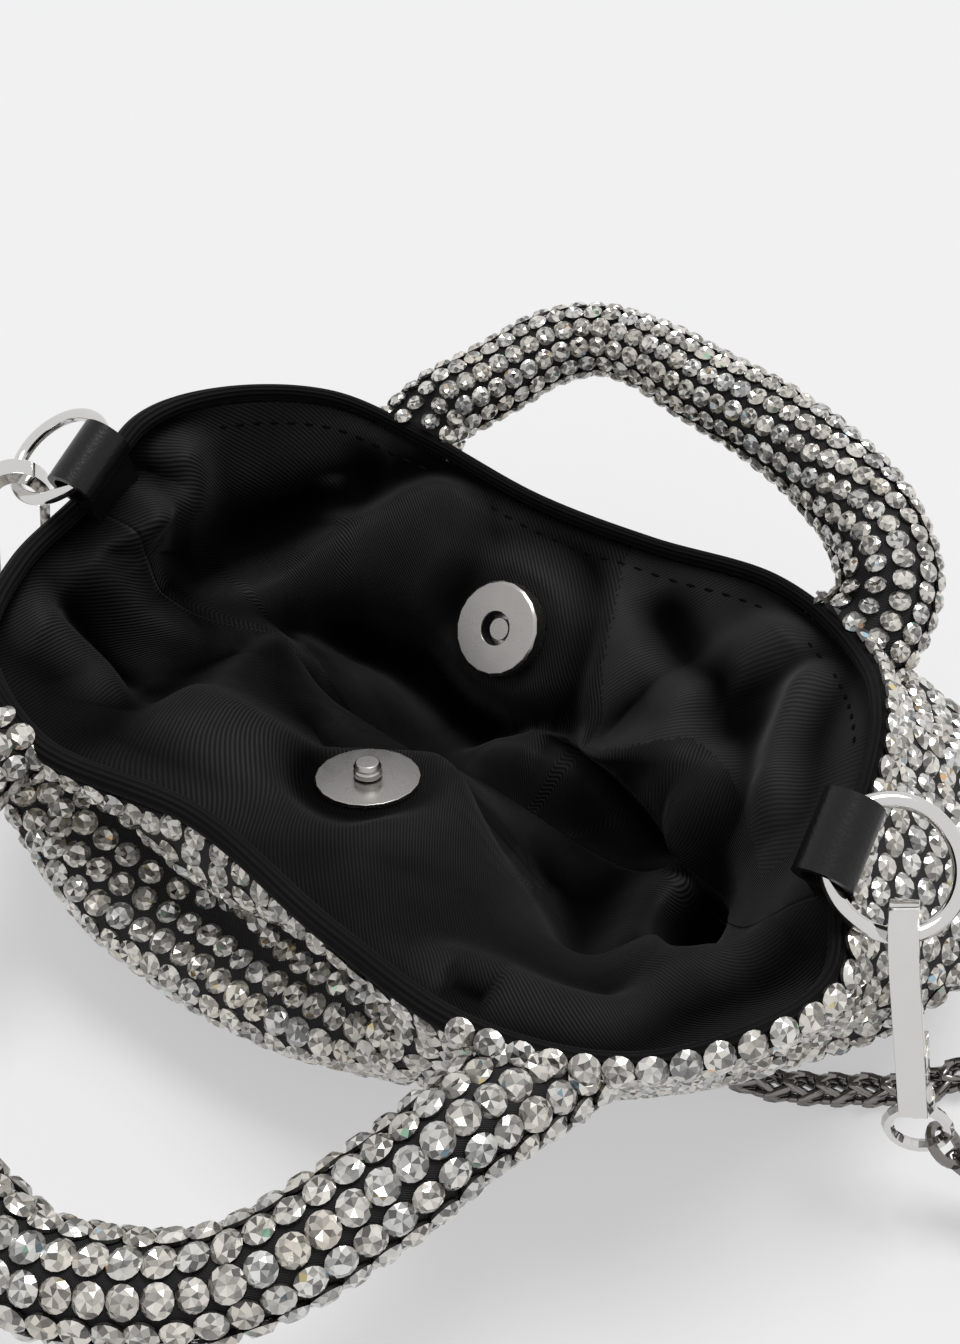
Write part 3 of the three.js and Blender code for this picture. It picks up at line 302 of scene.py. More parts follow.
RIM_SHARES = [
    (-0.975, -0.145, 0.875), (-1.01, 0.18, 0.945), (-0.96, 0.5, 0.91), (-0.8, 0.84, 0.81),
    (-0.56, 0.95, 0.72), (-0.22, 0.965, 0.66), (0.1, 1.0, 0.66), (0.42, 1.03, 0.7),
    (0.68, 0.84, 0.76), (0.87, 0.4, 0.92), (0.975, -0.125, 0.88), (1.05, -0.4, 0.855),
    (1.0, -0.64, 0.865), (0.83, -0.86, 0.79), (0.56, -0.985, 0.755), (0.22, -0.95, 0.73),
    (-0.19, -0.865, 0.73), (-0.575, -0.95, 0.755), (-0.83, -0.81, 0.82), (-0.955, -0.49, 0.84),
]
BULGE_SHARES = [
    (-0.88, -0.12, 1.0), (-0.99, 0.25, 0.95), (-0.97, 0.56, 0.92), (-0.8, 0.83, 0.92),
    (-0.53, 0.94, 0.92), (-0.22, 0.97, 0.92), (0.1, 0.985, 0.92), (0.41, 1.0, 1.0),
    (0.69, 0.98, 1.12), (0.94, 0.72, 1.12), (1.0, 0.28, 1.08), (0.9, -0.1, 0.92),
    (0.775, -0.31, 0.83), (0.63, -0.51, 0.72), (0.43, -0.72, 0.63), (0.14, -0.91, 0.63),
    (-0.14, -0.97, 0.63), (-0.42, -0.93, 0.63), (-0.62, -0.79, 0.67), (-0.78, -0.47, 0.83),
]
BASE_SHARES = [
    (-1.1, 0.0, 0), (-1.11, 0.24, 0), (-1.05, 0.5, 0), (-0.9, 0.74, 0), (-0.66, 0.86, 0),
    (-0.36, 0.9, 0), (-0.02, 0.92, 0), (0.32, 0.9, 0), (0.6, 0.8, 0), (0.78, 0.46, 0),
    (0.84, 0.0, 0), (0.8, -0.24, 0), (0.74, -0.44, 0), (0.64, -0.6, 0), (0.48, -0.74, 0),
    (0.2, -0.88, 0), (-0.2, -0.96, 0), (-0.62, -0.94, 0), (-0.9, -0.74, 0), (-1.05, -0.4, 0),
]
WALL_SHARES = [
    (-0.985, -0.2, 1.09), (-1.0, 0.26, 1.06), (-0.925, 0.65, 1.0), (-0.75, 0.9, 0.94),
    (-0.49, 1.0, 0.91), (-0.21, 1.0, 0.91), (0.09, 1.0, 0.91), (0.39, 1.0, 0.94),
    (0.66, 0.77, 0.97), (0.865, 0.26, 1.03), (0.985, -0.26, 1.12), (1.01, -0.58, 1.12),
    (0.925, -0.77, 1.06), (0.75, -0.84, 1.0), (0.48, -0.77, 0.97), (0.18, -0.58, 0.94),
    (-0.12, -0.52, 0.94), (-0.45, -0.65, 0.94), (-0.75, -0.84, 1.0), (-0.925, -0.65, 1.06),
]
POUCH_SHARES = [
    (-1.0, 0.35, 1.07), (-1.0, 0.55, 1.0), (-0.92, 0.72, 1.0), (-0.74, 0.88, 0.93),
    (-0.48, 0.96, 0.93), (-0.2, 1.0, 0.93), (0.1, 1.0, 0.93), (0.4, 0.96, 0.9),
    (0.7, 0.82, 0.85), (0.9, 0.62, 0.9), (1.0, 0.35, 1.0), (1.0, 0.02, 1.0),
    (0.92, -0.25, 0.95), (0.74, -0.36, 0.9), (0.48, -0.32, 0.87), (0.18, -0.2, 0.87),
    (-0.12, -0.1, 0.87), (-0.44, -0.12, 0.87), (-0.76, -0.12, 0.93), (-0.94, 0.1, 1.0),
]


def closed_line(shares, size, u):
    """The closed line through shares times size, in the frame's own place."""
    return spline(np.array(shares) * np.array(size), u, closed=True) + BAG_MIDDLE


def rim_line(u):
    """The middle line of the hem."""
    return closed_line(RIM_SHARES, MOUTH_SIZE, u)


def rim_outward(u):
    """The level direction at right angles to the rim, away from the mouth."""
    along = rim_line(np.asarray(u) + TINY_SHARE) - rim_line(np.asarray(u) - TINY_SHARE)
    return unit(np.stack([-along[:, 1], along[:, 0], np.zeros(len(along))], axis=1))


def top_edge(u, outwards):
    """The top edge of a cloth, below the hem: the rim moved outwards, and down past the hem's radius."""
    top = rim_line(u) + rim_outward(u) * outwards
    top[:, 2] -= HEM_RADIUS + TOUCH
    return top


def seam_line(u, seam):
    """Where each profile meets a seam along x, whose half length, place across and height are given. The
    way along is -1 at the left end and 1 at the right one, to the back and to the front again."""
    half_length, across, height = seam
    around = np.asarray(u) % 1.0
    along = np.where(around < 0.5, 4 * around - 1, 3 - 4 * around)
    ones = np.ones(len(u))
    return np.stack([half_length * along, across * ones, height * ones], axis=1) + BAG_MIDDLE


def shell_surface(u, v):
    """The crystal mesh's outer face: a profile per u, from under the hem (v = 0) over the bulge and
    under the bag to the gathered seam (v = 1)."""
    bulge = closed_line(BULGE_SHARES, BODY_SIZE, u)
    base = closed_line(BASE_SHARES, BASE_SIZE, u)
    under = base + UNDER_SHARE * (bulge - base)
    under[:, 2] = bulge[:, 2] * UNDER_HEIGHT
    profile = [top_edge(u, MESH_WALL + TOUCH / 2), bulge, under, base, seam_line(u, BASE_SEAM)]
    points = spline(np.stack(profile, axis=1), v)
    points[..., 2] = np.maximum(points[..., 2], 0)
    return points


def lining_surface(u, v):
    """The lining's face: a profile per u, from under the hem over the line of the snap to the pouch's
    floor and its seam."""
    wall = closed_line(WALL_SHARES, LINING_SIZE, u)
    floor = closed_line(POUCH_SHARES, POUCH_SIZE, u)
    profile = [top_edge(u, -(LINING_WALL + TOUCH / 2)), wall, floor, seam_line(u, POUCH_SEAM)]
    return spline(np.stack(profile, axis=1), v)


print("rim is", round(line_lengths(rim_line(np.linspace(0, 1, FINE_STEPS)))[-1]), "mm round")

# %% [markdown]
# The chain strap comes first, because it is the one piece that is longer than the bag. It leaves the
# right hook, is put away as a neat coil beside the bag, runs under and behind the bag and goes back
# into the left hook.

# %% The chain's middle line
CHAIN_DIAMETER = 6.0
COIL_RADIUS = 31.2
COIL_PITCH = 6.5
COIL_MIDDLE = np.array([148.0, 15.0, 0.0]) + BAG_MIDDLE
COIL_START = math.radians(-90)
COIL_TURNS = 3 + 240 / 360
CLIMB_TURNS = 0.5
TINY_TURN = 1e-3
SHORT_RUN_STEPS = 160
LONG_RUN_STEPS = 900

# Each end link where the chain is threaded through it, and the way the chain leaves it
RIGHT_LINK = (np.array([101.7991, -0.4667, 16.7058]), np.array([0.8291, 0.2339, -0.5078]))
LEFT_LINK = (np.array([-102.2334, -5.3581, 15.3696]), np.array([-0.6522, 0.4521, -0.6085]))
LINK_REACH = 4.3

RIGHT_POINTS = [(121.0, -13.5, 8.0), (128.0, -18.0, 4.6)]
LONG_POINTS = [
    (107.0, 18.0, 7.4), (104.3, 12.5, 4.3), (100.5, 7.0, 3.0), (96.0, 1.5, 3.0), (89.0, -3.5, 3.0),
    (81.5, -8.5, 3.0), (74.0, -12.0, 3.0), (66.0, -12.5, 3.0), (60.5, -6.0, 3.0), (59.0, 4.0, 3.0),
    (61.0, 17.0, 3.0), (64.0, 30.0, 3.0), (64.0, 43.0, 3.0), (57.0, 54.0, 3.0), (45.0, 59.0, 3.0),
    (30.0, 60.0, 3.0), (12.0, 60.0, 3.0), (-6.0, 60.0, 3.0), (-24.0, 60.0, 3.0), (-42.0, 60.0, 3.0),
    (-60.0, 59.0, 3.0), (-76.0, 54.0, 3.0), (-90.0, 44.0, 3.0), (-101.0, 30.0, 3.0),
    (-108.0, 15.0, 3.0), (-111.0, 0.0, 3.2), (-109.5, -9.5, 5.0),
]


def coil_line(turns):
    """The coil spirals in on the table, climbs over half a turn and spirals out again on top: the radius
    is COIL_RADIUS plus a pitch for each turn away from the middle, and the height climbs one pitch."""
    half = COIL_TURNS / 2
    radius = COIL_RADIUS + COIL_PITCH * (np.abs(turns - half) - half / 2)
    climbed = smooth_step(turns, half - CLIMB_TURNS / 2, half + CLIMB_TURNS / 2)
    angle = COIL_START + TURN * turns
    height = CHAIN_DIAMETER / 2 + COIL_PITCH * climbed
    return COIL_MIDDLE + np.stack([radius * np.cos(angle), radius * np.sin(angle), height], axis=1)


def coil_end(turn, away):
    """The end of the coil and two places straight on from it, so that the chain leaves it smoothly."""
    before, here, after = coil_line(np.array([turn - TINY_TURN, turn, turn + TINY_TURN]))
    return [here + unit(after - before) * away * far * CHAIN_DIAMETER for far in range(3)]


right_end, left_end = (place + way * LINK_REACH for place, way in (RIGHT_LINK, LEFT_LINK))
right_points = [right_end, right_end + RIGHT_LINK[1] * CHAIN_DIAMETER]
right_points += [np.array(p) + BAG_MIDDLE for p in RIGHT_POINTS] + coil_end(0.0, -1)[::-1]
long_points = coil_end(COIL_TURNS, 1) + [np.array(p) + BAG_MIDDLE for p in LONG_POINTS]
long_points += [left_end + LEFT_LINK[1] * CHAIN_DIAMETER, left_end]

right_run = spline(right_points, np.linspace(0, 1, SHORT_RUN_STEPS))
coil_run = coil_line(np.linspace(0, COIL_TURNS, LONG_RUN_STEPS))
long_run = spline(long_points, np.linspace(0, 1, LONG_RUN_STEPS))
chain_line = np.concatenate([right_run, coil_run[1:], long_run[1:]])

# %% [markdown]
# The chain is a foxtail: each link is an oval bent into a U, and the next one is threaded through it a
# quarter turn round. So each of its four sides shows a row of arrow heads. One bent oval is worked out
# as a thin ring, then copied along the line, turned by a quarter each time.

# %% Chain links
LINK_SPACING = 2.75
LINK_HALF_WIDTH = 2.4
LINK_HALF_HEIGHT = 1.75
LINK_SWEEP = 4.6
LINK_WIRE = 0.8
LINK_STEPS = 14
LINK_SIDES = 5
LINK_ACROSS = (1.0, 0.2, 0.1)
FIRST_LINK = 0.4
STEEP = 0.9
LEVEL_SHARE = 0.1


def steady_frames(ahead):
    """Directions carried along a line without twist: each side is the one before it, made square again
    to the new direction and drawn a little to the level, so that the chain does not turn round itself."""
    sides = np.empty_like(ahead)
    side = unit(np.cross(ahead[0], UP))
    for k, direction in enumerate(ahead):
        side = unit(side - direction * (side @ direction))
        if abs(direction[2]) < STEEP:
            side = unit((1 - LEVEL_SHARE) * side + LEVEL_SHARE * unit(np.cross(direction, UP)))
        sides[k] = side
    return sides, np.cross(sides, ahead)


def bent_oval():
    """Middle line of a link: across = w sin a, high = h cos a, and ahead = s sin^2 a, so that both of
    its round ends sweep forwards. Returned as a thin ring of points (steps, sides, 3)."""
    angles = np.arange(LINK_STEPS) * TURN / LINK_STEPS
    middle = np.stack([
        LINK_SWEEP * (np.sin(angles) ** 2 - 0.5),
        LINK_HALF_WIDTH * np.sin(angles),
        LINK_HALF_HEIGHT * np.cos(angles),
    ], axis=1)
    return tube_points(middle, LINK_SIDES, LINK_WIRE, closed=True, across=LINK_ACROSS)


link_places, link_ahead, _ = even_line(chain_line, LINK_SPACING, from_start=FIRST_LINK)
link_side, link_over = steady_frames(link_ahead)
link_shape = bent_oval().reshape(-1, 3)
quarter = (np.arange(len(link_places)) % 2)[:, None]
side = np.where(quarter, link_over, link_side)
over = np.where(quarter, -link_side, link_over)
chain_points = set_down(link_shape, link_places, link_ahead, side, over)
ring_faces = grid_faces(LINK_STEPS, LINK_SIDES, True, True)[0]
chain_faces = copied_faces(ring_faces, len(link_places), len(link_shape))
chain_strap = new_piece("chain_strap", chain_points.reshape(-1, 3), [chain_faces])
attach(chain_strap, "bag")
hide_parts("chain_right_stretch", "chain_coil", "chain_long_stretch")
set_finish(chain_strap, "gunmetal")
print("chain links:", len(link_places), "faces:", len(chain_faces))

# %% [markdown]
# One crystal
#
# A set stone is a glass brilliant with a foiled back, 4.5 mm wide. Its crown has a table, eight stars
# round the table, eight kites and sixteen small facets down to the girdle. The foil shows the pointed
# back through the table, so the table is a shallow eight-sided hollow here. Each facet keeps a painted
# reflection of its own, a fixed tone that stands for what the foil behind it throws back.

# %% The cut of a stone
STONE_RADIUS = 2.36
STONE_CROWN = 0.95
STONE_GIRDLE = 0.55
FOOT_SHARE = 0.93
KITE_SHARE = 0.78
KITE_CROWN = 0.55
TABLE_SHARE = 0.56
TABLE_HOLLOW = 0.17


def level_ring(angles, radius, height):
    """One ring of a stone's corners, in shares of the stone's radius."""
    return np.stack([radius * np.cos(angles), radius * np.sin(angles), 0 * angles + height], axis=1)


def brilliant():
    """Corner places and faces of one stone, its girdle's foot at height 0 and its table upwards. Rings of
    corners: 16 at the girdle's foot, 16 at its top, 8 at the kites' middles, 8 at the table, 1 within."""
    sixteen, eight = np.arange(16) * TURN / 16, np.arange(8) * TURN / 8
    table_height = (STONE_GIRDLE + STONE_CROWN) / STONE_RADIUS
    points = np.concatenate([
        level_ring(sixteen, FOOT_SHARE, 0),
        level_ring(sixteen, 1, STONE_GIRDLE / STONE_RADIUS),
        level_ring(eight + TURN / 16, KITE_SHARE, (STONE_GIRDLE + KITE_CROWN * STONE_CROWN) / STONE_RADIUS),
        level_ring(eight, TABLE_SHARE, table_height),
        [[0, 0, table_height - TABLE_HOLLOW]],
    ]) * STONE_RADIUS
    foot, girdle, kite, table, middle = 0, 16, 32, 40, 48
    k16, k8 = np.arange(16), np.arange(8)
    next16, next8 = (k16 + 1) % 16, (k8 + 1) % 8
    bands = foot + k16, foot + next16, girdle + next16, girdle + k16
    kites = kite + (k8 - 1) % 8, girdle + 2 * k8, kite + k8, table + k8
    lower_left = girdle + 2 * k8, girdle + 2 * k8 + 1, kite + k8
    lower_right = girdle + 2 * k8 + 1, girdle + 2 * next8, kite + k8
    stars = kite + k8, table + next8, table + k8
    hollow = table + k8, table + next8, np.full(8, middle)
    quads = np.concatenate([np.stack(f, axis=1) for f in (bands, kites)])
    triangles = np.concatenate([np.stack(f, axis=1) for f in (lower_left, lower_right, stars, hollow)])
    return points, quads, triangles


stone_points, stone_quads, stone_triangles = brilliant()

# The kinds of facets in the order of their faces: count, darkest and brightest tone of the painted reflection
FACET_REFLECTIONS = {
    "band": (16, 0.03, 0.2), "kite": (8, 0.12, 1.0), "lower": (16, 0.04, 0.95),
    "star": (8, 0.2, 1.0), "hollow": (8, 0.1, 1.0),
}
facet_counts, darkest, brightest = zip(*FACET_REFLECTIONS.values())
facet_reflection_low, facet_reflection_high = np.repeat(darkest, facet_counts), np.repeat(brightest, facet_counts)
print("faces on one stone:", len(stone_quads) + len(stone_triangles))

# %% [markdown]
# No two stones look the same on the real mesh. They sit a little askew, turn to any side in their cups,
# and each facet throws back another part of the room, painted here as a reflection tone of its own. A few
# facets get a painted spark of colour, where light is split. All of this is drawn at random from a fixed
# start, so that each run gives the same bag.

# %% Many stones in one mesh
TIPPED = 0.05
SIZE_RANGE = (0.96, 1.04)
# Spread and range of the painted facet reflections, and the share and hues of the painted sparks of colour
PAINTED_REFLECTION_SPREAD = (0.7, 0.55)
STONE_REFLECTION_RANGE = (0.8, 1.08)
PAINTED_SPARK_SHARE = 0.012
PAINTED_SPARK_HUES = np.array([(1.0, 0.62, 0.3), (0.45, 0.75, 1.0), (0.5, 1.0, 0.75), (1.0, 0.85, 0.4)])
WARMTH = 0.02
WARM_HUE = np.array([1.0, 0.1, -1.2])


def stones_piece(name, places, normals, along, seed, size=1.0):
    """All stones of one piece in a single mesh: each copy of the cut is turned about its own normal by a
    random angle, tipped by up to a few degrees, and set down at its place. The painted reflection of a facet
    is its kind's darkest + (brightest - darkest) times a share drawn from a beta curve, and a few facets get
    a painted spark of colour."""
    draw = np.random.default_rng(seed)
    count, facets = len(places), len(facet_reflection_low)
    normals = unit(normals + draw.normal(0, TIPPED, (count, 3)))
    first = unit(along - normals * np.sum(along * normals, axis=1, keepdims=True))
    second = np.cross(normals, first)
    spin = draw.uniform(0, TURN, count)[:, None]
    turned = first * np.cos(spin) + second * np.sin(spin)
    square = second * np.cos(spin) - first * np.sin(spin)
    scale = (size * draw.uniform(*SIZE_RANGE, count))[:, None, None]
    points = set_down(scale * stone_points, places, turned, square, normals)
    faces = [copied_faces(cut, count, len(stone_points)) for cut in (stone_quads, stone_triangles)]
    piece = new_piece(name, points.reshape(-1, 3), faces, smooth=False)
    # Painted reflections: each facet's fixed tone stands for what it throws back, and a few get a painted
    # spark of colour
    tones = facet_reflection_low + (facet_reflection_high - facet_reflection_low) * draw.beta(*PAINTED_REFLECTION_SPREAD, (count, facets))
    tones *= draw.uniform(*STONE_REFLECTION_RANGE, (count, 1))
    tint = np.ones((count, facets, 3))
    painted_sparks = draw.random((count, facets)) < PAINTED_SPARK_SHARE
    tint[painted_sparks] = PAINTED_SPARK_HUES[draw.integers(0, len(PAINTED_SPARK_HUES), painted_sparks.sum())]
    warm = 1 + draw.normal(0, WARMTH, (count, 1, 1)) * WARM_HUE
    colours = np.clip(tones[..., None] * tint * warm, 0, 1)
    parts = np.split(colours, [len(stone_quads)], axis=1)
    ordered = np.concatenate([part.reshape(-1, 3) for part in parts])
    # The painted reflections are stored on the faces
    layer = piece.data.attributes.new("painted_facet_reflection", "FLOAT_COLOR", "FACE")
    layer.data.foreach_set("color", np.concatenate([ordered, np.ones((len(ordered), 1))], axis=1).ravel())
    return piece


# %% [markdown]
# Rows of stones on the wall
#
# On the real mesh the rows are an even distance apart, so they keep their distance down the wall from
# the hem, however the wall swells. The wall is first worked out as a dense grid. Then each profile is
# walked from the hem, and a row joins the places at one walked distance. Along a row the stones sit an
# even step apart.

# %% The slouched wall
ROW_SPACING = 5.15
STONE_SPACING = 4.5
BACKING_DEPTH = 1.25
FOOT_HEIGHT = 2.0
WALL_COLUMNS = 720
WALL_ROWS = 130
FOLD_REACH = 6.5
FOLD_FADE = (0.005, 0.05)
STONE_LIFT = 0.1

# Folds of the slack wall: depth in mm, inwards, and the run of the valley or roll, in shares of the way
# round the bag and down the wall.
WALL_FOLDS = [
    (11.0, [(0.842, 0.06), (0.825, 0.09), (0.808, 0.12), (0.787, 0.118), (0.762, 0.092), (0.738, 0.06)]),
    (-3.2, [(0.865, 0.1), (0.825, 0.17), (0.79, 0.18), (0.755, 0.165), (0.73, 0.12)]),
    (3.0, [(0.6, 0.06), (0.565, 0.16)]),
    (3.5, [(0.455, 0.05), (0.445, 0.2)]),
    (-2.0, [(0.4, 0.1), (0.43, 0.24)]),
    (3.0, [(0.36, 0.1), (0.3, 0.2)]),
    (3.5, [(0.2, 0.06), (0.245, 0.2)]),
    (3.0, [(0.14, 0.08), (0.1, 0.2)]),
    (3.0, [(0.05, 0.06), (0.03, 0.2)]),
    (3.0, [(0.95, 0.08), (0.925, 0.2)]),
]


def grid_normals(points):
    """Normals of a closed grid surface: its direction round crossed with its direction down."""
    along = np.roll(points, -1, axis=0) - np.roll(points, 1, axis=0)
    return unit(np.cross(along, np.gradient(points, axis=1)))


def walked_down(points):
    """Distance walked down each profile of a grid."""
    steps = np.linalg.norm(np.diff(points, axis=1), axis=2)
    return np.concatenate([np.zeros((len(points), 1)), np.cumsum(steps, axis=1)], axis=1)


def nearest_on_run(points, corners):
    """For every point, its distance from a line of straight pieces, the arrow to it from the nearest place
    on the line, the line's direction there and the share of the line passed. On each piece from a to b the
    nearest place is a + s (b - a), with the share s held between 0 and 1."""
    least = np.full(points.shape[:-1], np.inf)
    arrow = np.zeros(points.shape)
    ahead = np.zeros(points.shape)
    passed = np.zeros(points.shape[:-1])
    for k, (a, b) in enumerate(zip(corners[:-1], corners[1:])):
        share = np.clip((points - a) @ (b - a) / ((b - a) @ (b - a)), 0, 1)
        away = points - a - share[..., None] * (b - a)
        distance = np.linalg.norm(away, axis=-1)
        closer = distance < least
        least = np.where(closer, distance, least)
        arrow = np.where(closer[..., None], away, arrow)
        ahead = np.where(closer[..., None], unit(b - a), ahead)
        passed = np.where(closer, (k + share) / (len(corners) - 1), passed)
    return least, arrow, ahead, passed


def slouched_wall(u, v):
    """The wall's outer face with its folds: each fold is a bell exp(-(d / reach)^2) of the distance d from
    its run on the slack wall, pushed inwards along the wall's normal."""
    slack = shell_surface(u, v)
    depth = np.zeros(slack.shape[:2])
    for fold_depth, run in WALL_FOLDS:
        corners = np.array([shell_surface(np.array([a]), np.array([b]))[0, 0] for a, b in run])
        depth += fold_depth * np.exp(-((nearest_on_run(slack, corners)[0] / FOLD_REACH) ** 2))
    points = slack - grid_normals(slack) * (depth * smooth_step(v, *FOLD_FADE))[..., None]
    points[..., 2] = np.maximum(points[..., 2], 0)
    return points


wall = slouched_wall(np.arange(WALL_COLUMNS) / WALL_COLUMNS, np.linspace(0, 1, WALL_ROWS))
wall_normals = grid_normals(wall)
wall_down = walked_down(wall)
backing = wall - wall_normals * BACKING_DEPTH
backing[..., 2] = np.maximum(backing[..., 2], FOOT_HEIGHT)
print("wall is", round(wall_down[:, -1].mean()), "mm down to the seam")

# %% [markdown]
# A stone's place on the wall is two numbers: how far round the bag it sits, and how many mm below the
# hem. Where the front is crumpled its rows are swept round, and they bend a little elsewhere. At the
# right, the mesh is turned over the hem and shows one more row.

# %% Rows of stones
FIRST_ROW = 1.4
LEAST_LEVEL = 1.0
ROW_END = 0.6
ROUND_PROBE = 0.01
COLUMN_PROBE = 0.5
ROW_SEED = 11


def wall_at(columns, levels):
    """Places and normals on the wall's backing at fractional columns and distances down from the hem."""
    places, facings = [], []
    for side_columns in (np.floor(columns).astype(int), np.floor(columns).astype(int) + 1):
        picked = side_columns % WALL_COLUMNS
        down = wall_down[picked]
        index = np.sum(down < levels[:, None], axis=1).clip(1, WALL_ROWS - 1)
        rows = np.arange(len(levels))
        low, high = down[rows, index - 1], down[rows, index]
        share = ((levels - low) / np.maximum(high - low, 1e-9)).clip(0, 1)[:, None]
        places.append(backing[picked, index - 1] * (1 - share) + backing[picked, index] * share)
        facings.append(wall_normals[picked, index - 1] * (1 - share) + wall_normals[picked, index] * share)
    weight = (columns - np.floor(columns))[:, None]
    place = places[0] * (1 - weight) + places[1] * weight
    return place, unit(facings[0] * (1 - weight) + facings[1] * weight)


# Each swirl of the rows: its middle (share round the bag, mm down the wall), reach in mm, turn in degrees
SWIRLS = [
    ((0.803, 12.0), 9.5, 55), ((0.765, 12.0), 6.0, -18), ((0.59, 16.0), 8.0, 25), ((0.43, 18.0), 10.0, -25),
    ((0.30, 20.0), 9.0, 20), ((0.08, 18.0), 10.0, 25), ((0.93, 16.0), 8.0, -20),
]


def swirled(around, levels):
    """Places moved round each swirl's middle by turn exp(-(d / reach)^2), which keeps the stones' spacing.
    One column is as wide as the wall's columns are at the swirl's middle."""
    for (middle_u, middle_t), reach, turn in SWIRLS:
        ends, _ = wall_at(np.array([middle_u, middle_u + ROUND_PROBE]) * WALL_COLUMNS, np.full(2, middle_t))
        wide = np.linalg.norm(ends[1] - ends[0]) / ROUND_PROBE
        dx, dy = (around - middle_u) * wide, levels - middle_t
        angle = math.radians(turn) * np.exp(-((dx**2 + dy**2) / reach**2))
        around = middle_u + (dx * np.cos(angle) - dy * np.sin(angle)) / wide
        levels = middle_t + dx * np.sin(angle) + dy * np.cos(angle)
    return around, levels


def wall_rows():
    """Stone places, normals, row directions and shares round the bag of the whole wall, row by row. Each
    row starts at a random share of one stone, and it ends where the wall is too short for it."""
    around, levels = [], []
    draw = np.random.default_rng(ROW_SEED)
    for level in np.arange(FIRST_ROW, wall_down.max(), ROW_SPACING):
        reached = wall_down[:, -1] > level + LEAST_LEVEL
        if not reached.any():
            break
        line, _ = wall_at(np.arange(WALL_COLUMNS, dtype=float), np.full(WALL_COLUMNS, level))
        start = int(np.argmin(reached)) if not reached.all() else 0
        order = (np.arange(WALL_COLUMNS + 1) + start) % WALL_COLUMNS
        walked = line_lengths(line[order])
        end = walked[-1] - ROW_END * STONE_SPACING
        steps = np.arange(draw.uniform(0, STONE_SPACING), end, STONE_SPACING)
        near = np.interp(steps, walked, np.arange(WALL_COLUMNS + 1))
        kept = near[reached[order][np.round(near).astype(int)]]
        around.append((kept + start) / WALL_COLUMNS)
        levels.append(np.full(len(kept), level))
    around, levels = swirled(np.concatenate(around) % 1.0, np.concatenate(levels))
    levels = np.maximum(levels, LEAST_LEVEL)
    places, normals = wall_at(around * WALL_COLUMNS, levels)
    beside, _ = wall_at(around * WALL_COLUMNS + COLUMN_PROBE, levels)
    return places, normals, unit(beside - places), around % 1.0


OVER_HEM = (0.372, 0.702)
OVER_HEM_ANGLE = math.radians(38)
OVER_HEM_REACH = 1.75
OVER_HEM_FIRST = 1.0
QUARTER_ROUND = 0.25


def hem_row():
    """The same four things for the row over the hem, whose stones face outwards and up at one angle."""
    u = np.linspace(*OVER_HEM, FINE_STEPS)
    walked = line_lengths(rim_line(u))
    stone_u = np.interp(np.arange(OVER_HEM_FIRST, walked[-1], STONE_SPACING), walked, u)
    facing = rim_outward(stone_u) * math.cos(OVER_HEM_ANGLE) + UP * math.sin(OVER_HEM_ANGLE)
    along = np.cross(facing, rim_outward(stone_u + QUARTER_ROUND))
    return rim_line(stone_u) + facing * OVER_HEM_REACH, facing, along, stone_u


stone_places, stone_normals, stone_along, stone_around = (
    np.concatenate(both) for both in zip(wall_rows(), hem_row())
)
stone_places = stone_places + stone_normals * STONE_LIFT
stone_places[:, 2] = np.maximum(stone_places[:, 2], STONE_GIRDLE + STONE_CROWN)
print("stones on the wall:", len(stone_places))

# %% [markdown]
# The two halves of the wall are pieces of their own, as the bag is sewn from two panels. Each is a sheet
# of black mesh and the stones that are set on it.

# %% The wall's two halves
MESH_THICKNESS = 0.7
MESH_ROUND = 520.0
SHEET_STEP = 3
WALL_SEEDS = {"back": 21, "front": 22}
crystal_pieces = []
mesh_pieces = []
for half, seed in WALL_SEEDS.items():
    chosen = (stone_around < 0.5) == (half == "back")
    stones = stones_piece(
        f"{half}_wall_crystals", stone_places[chosen], stone_normals[chosen], stone_along[chosen], seed,
    )
    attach(stones, "bag")
    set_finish(stones, "crystal_mesh")
    crystal_pieces.append(stones)
    columns = half_columns(half, WALL_COLUMNS, SHEET_STEP)
    round_mm = np.arange(len(columns)) * SHEET_STEP * MESH_ROUND / WALL_COLUMNS
    net = grid_piece(
        f"{half}_mesh_backing", backing[columns], walked_places(round_mm, wall_down[columns]), flip=True,
    )
    thicken(net, MESH_THICKNESS)
    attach(net, "bag")
    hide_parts(f"{half}_mesh_panel")
    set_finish(net, "crystal_mesh")
    mesh_pieces.append(net)
    print(half, "wall:", chosen.sum(), "stones")

# %% [markdown]
# The handles
#
# Each handle is a strip of the same mesh, sewn into a tube over cotton cord. Its middle line lies in
# one plane, which hinges on the hem. The rows of stones run along the tube and turn slowly round it,
# and the tube is pinched a little where it bends sharply.

# %% Handle tubes
HANDLE_RADIUS = 7.8
SKIN_GAP = 0.2
ROOT_OUT = 0.6
HEM_OVERLAP = 1.2
HEM_TRIM = 0.6
TRIM_REACH = 16.0
TRIM_LIMITS = (-7.0, 14.0)
LEAST_COSINE = 0.4
END_STEP = 4
LINE_SPACING = 1.0
TUBE_SIDES = 28
TUBE_ROUND = 45.0
TUBE_STEP = 2
ROW_ENDS = (0.05, 0.5)
TRIM_PLACES = 2000
TRIM_ANGLES = 37

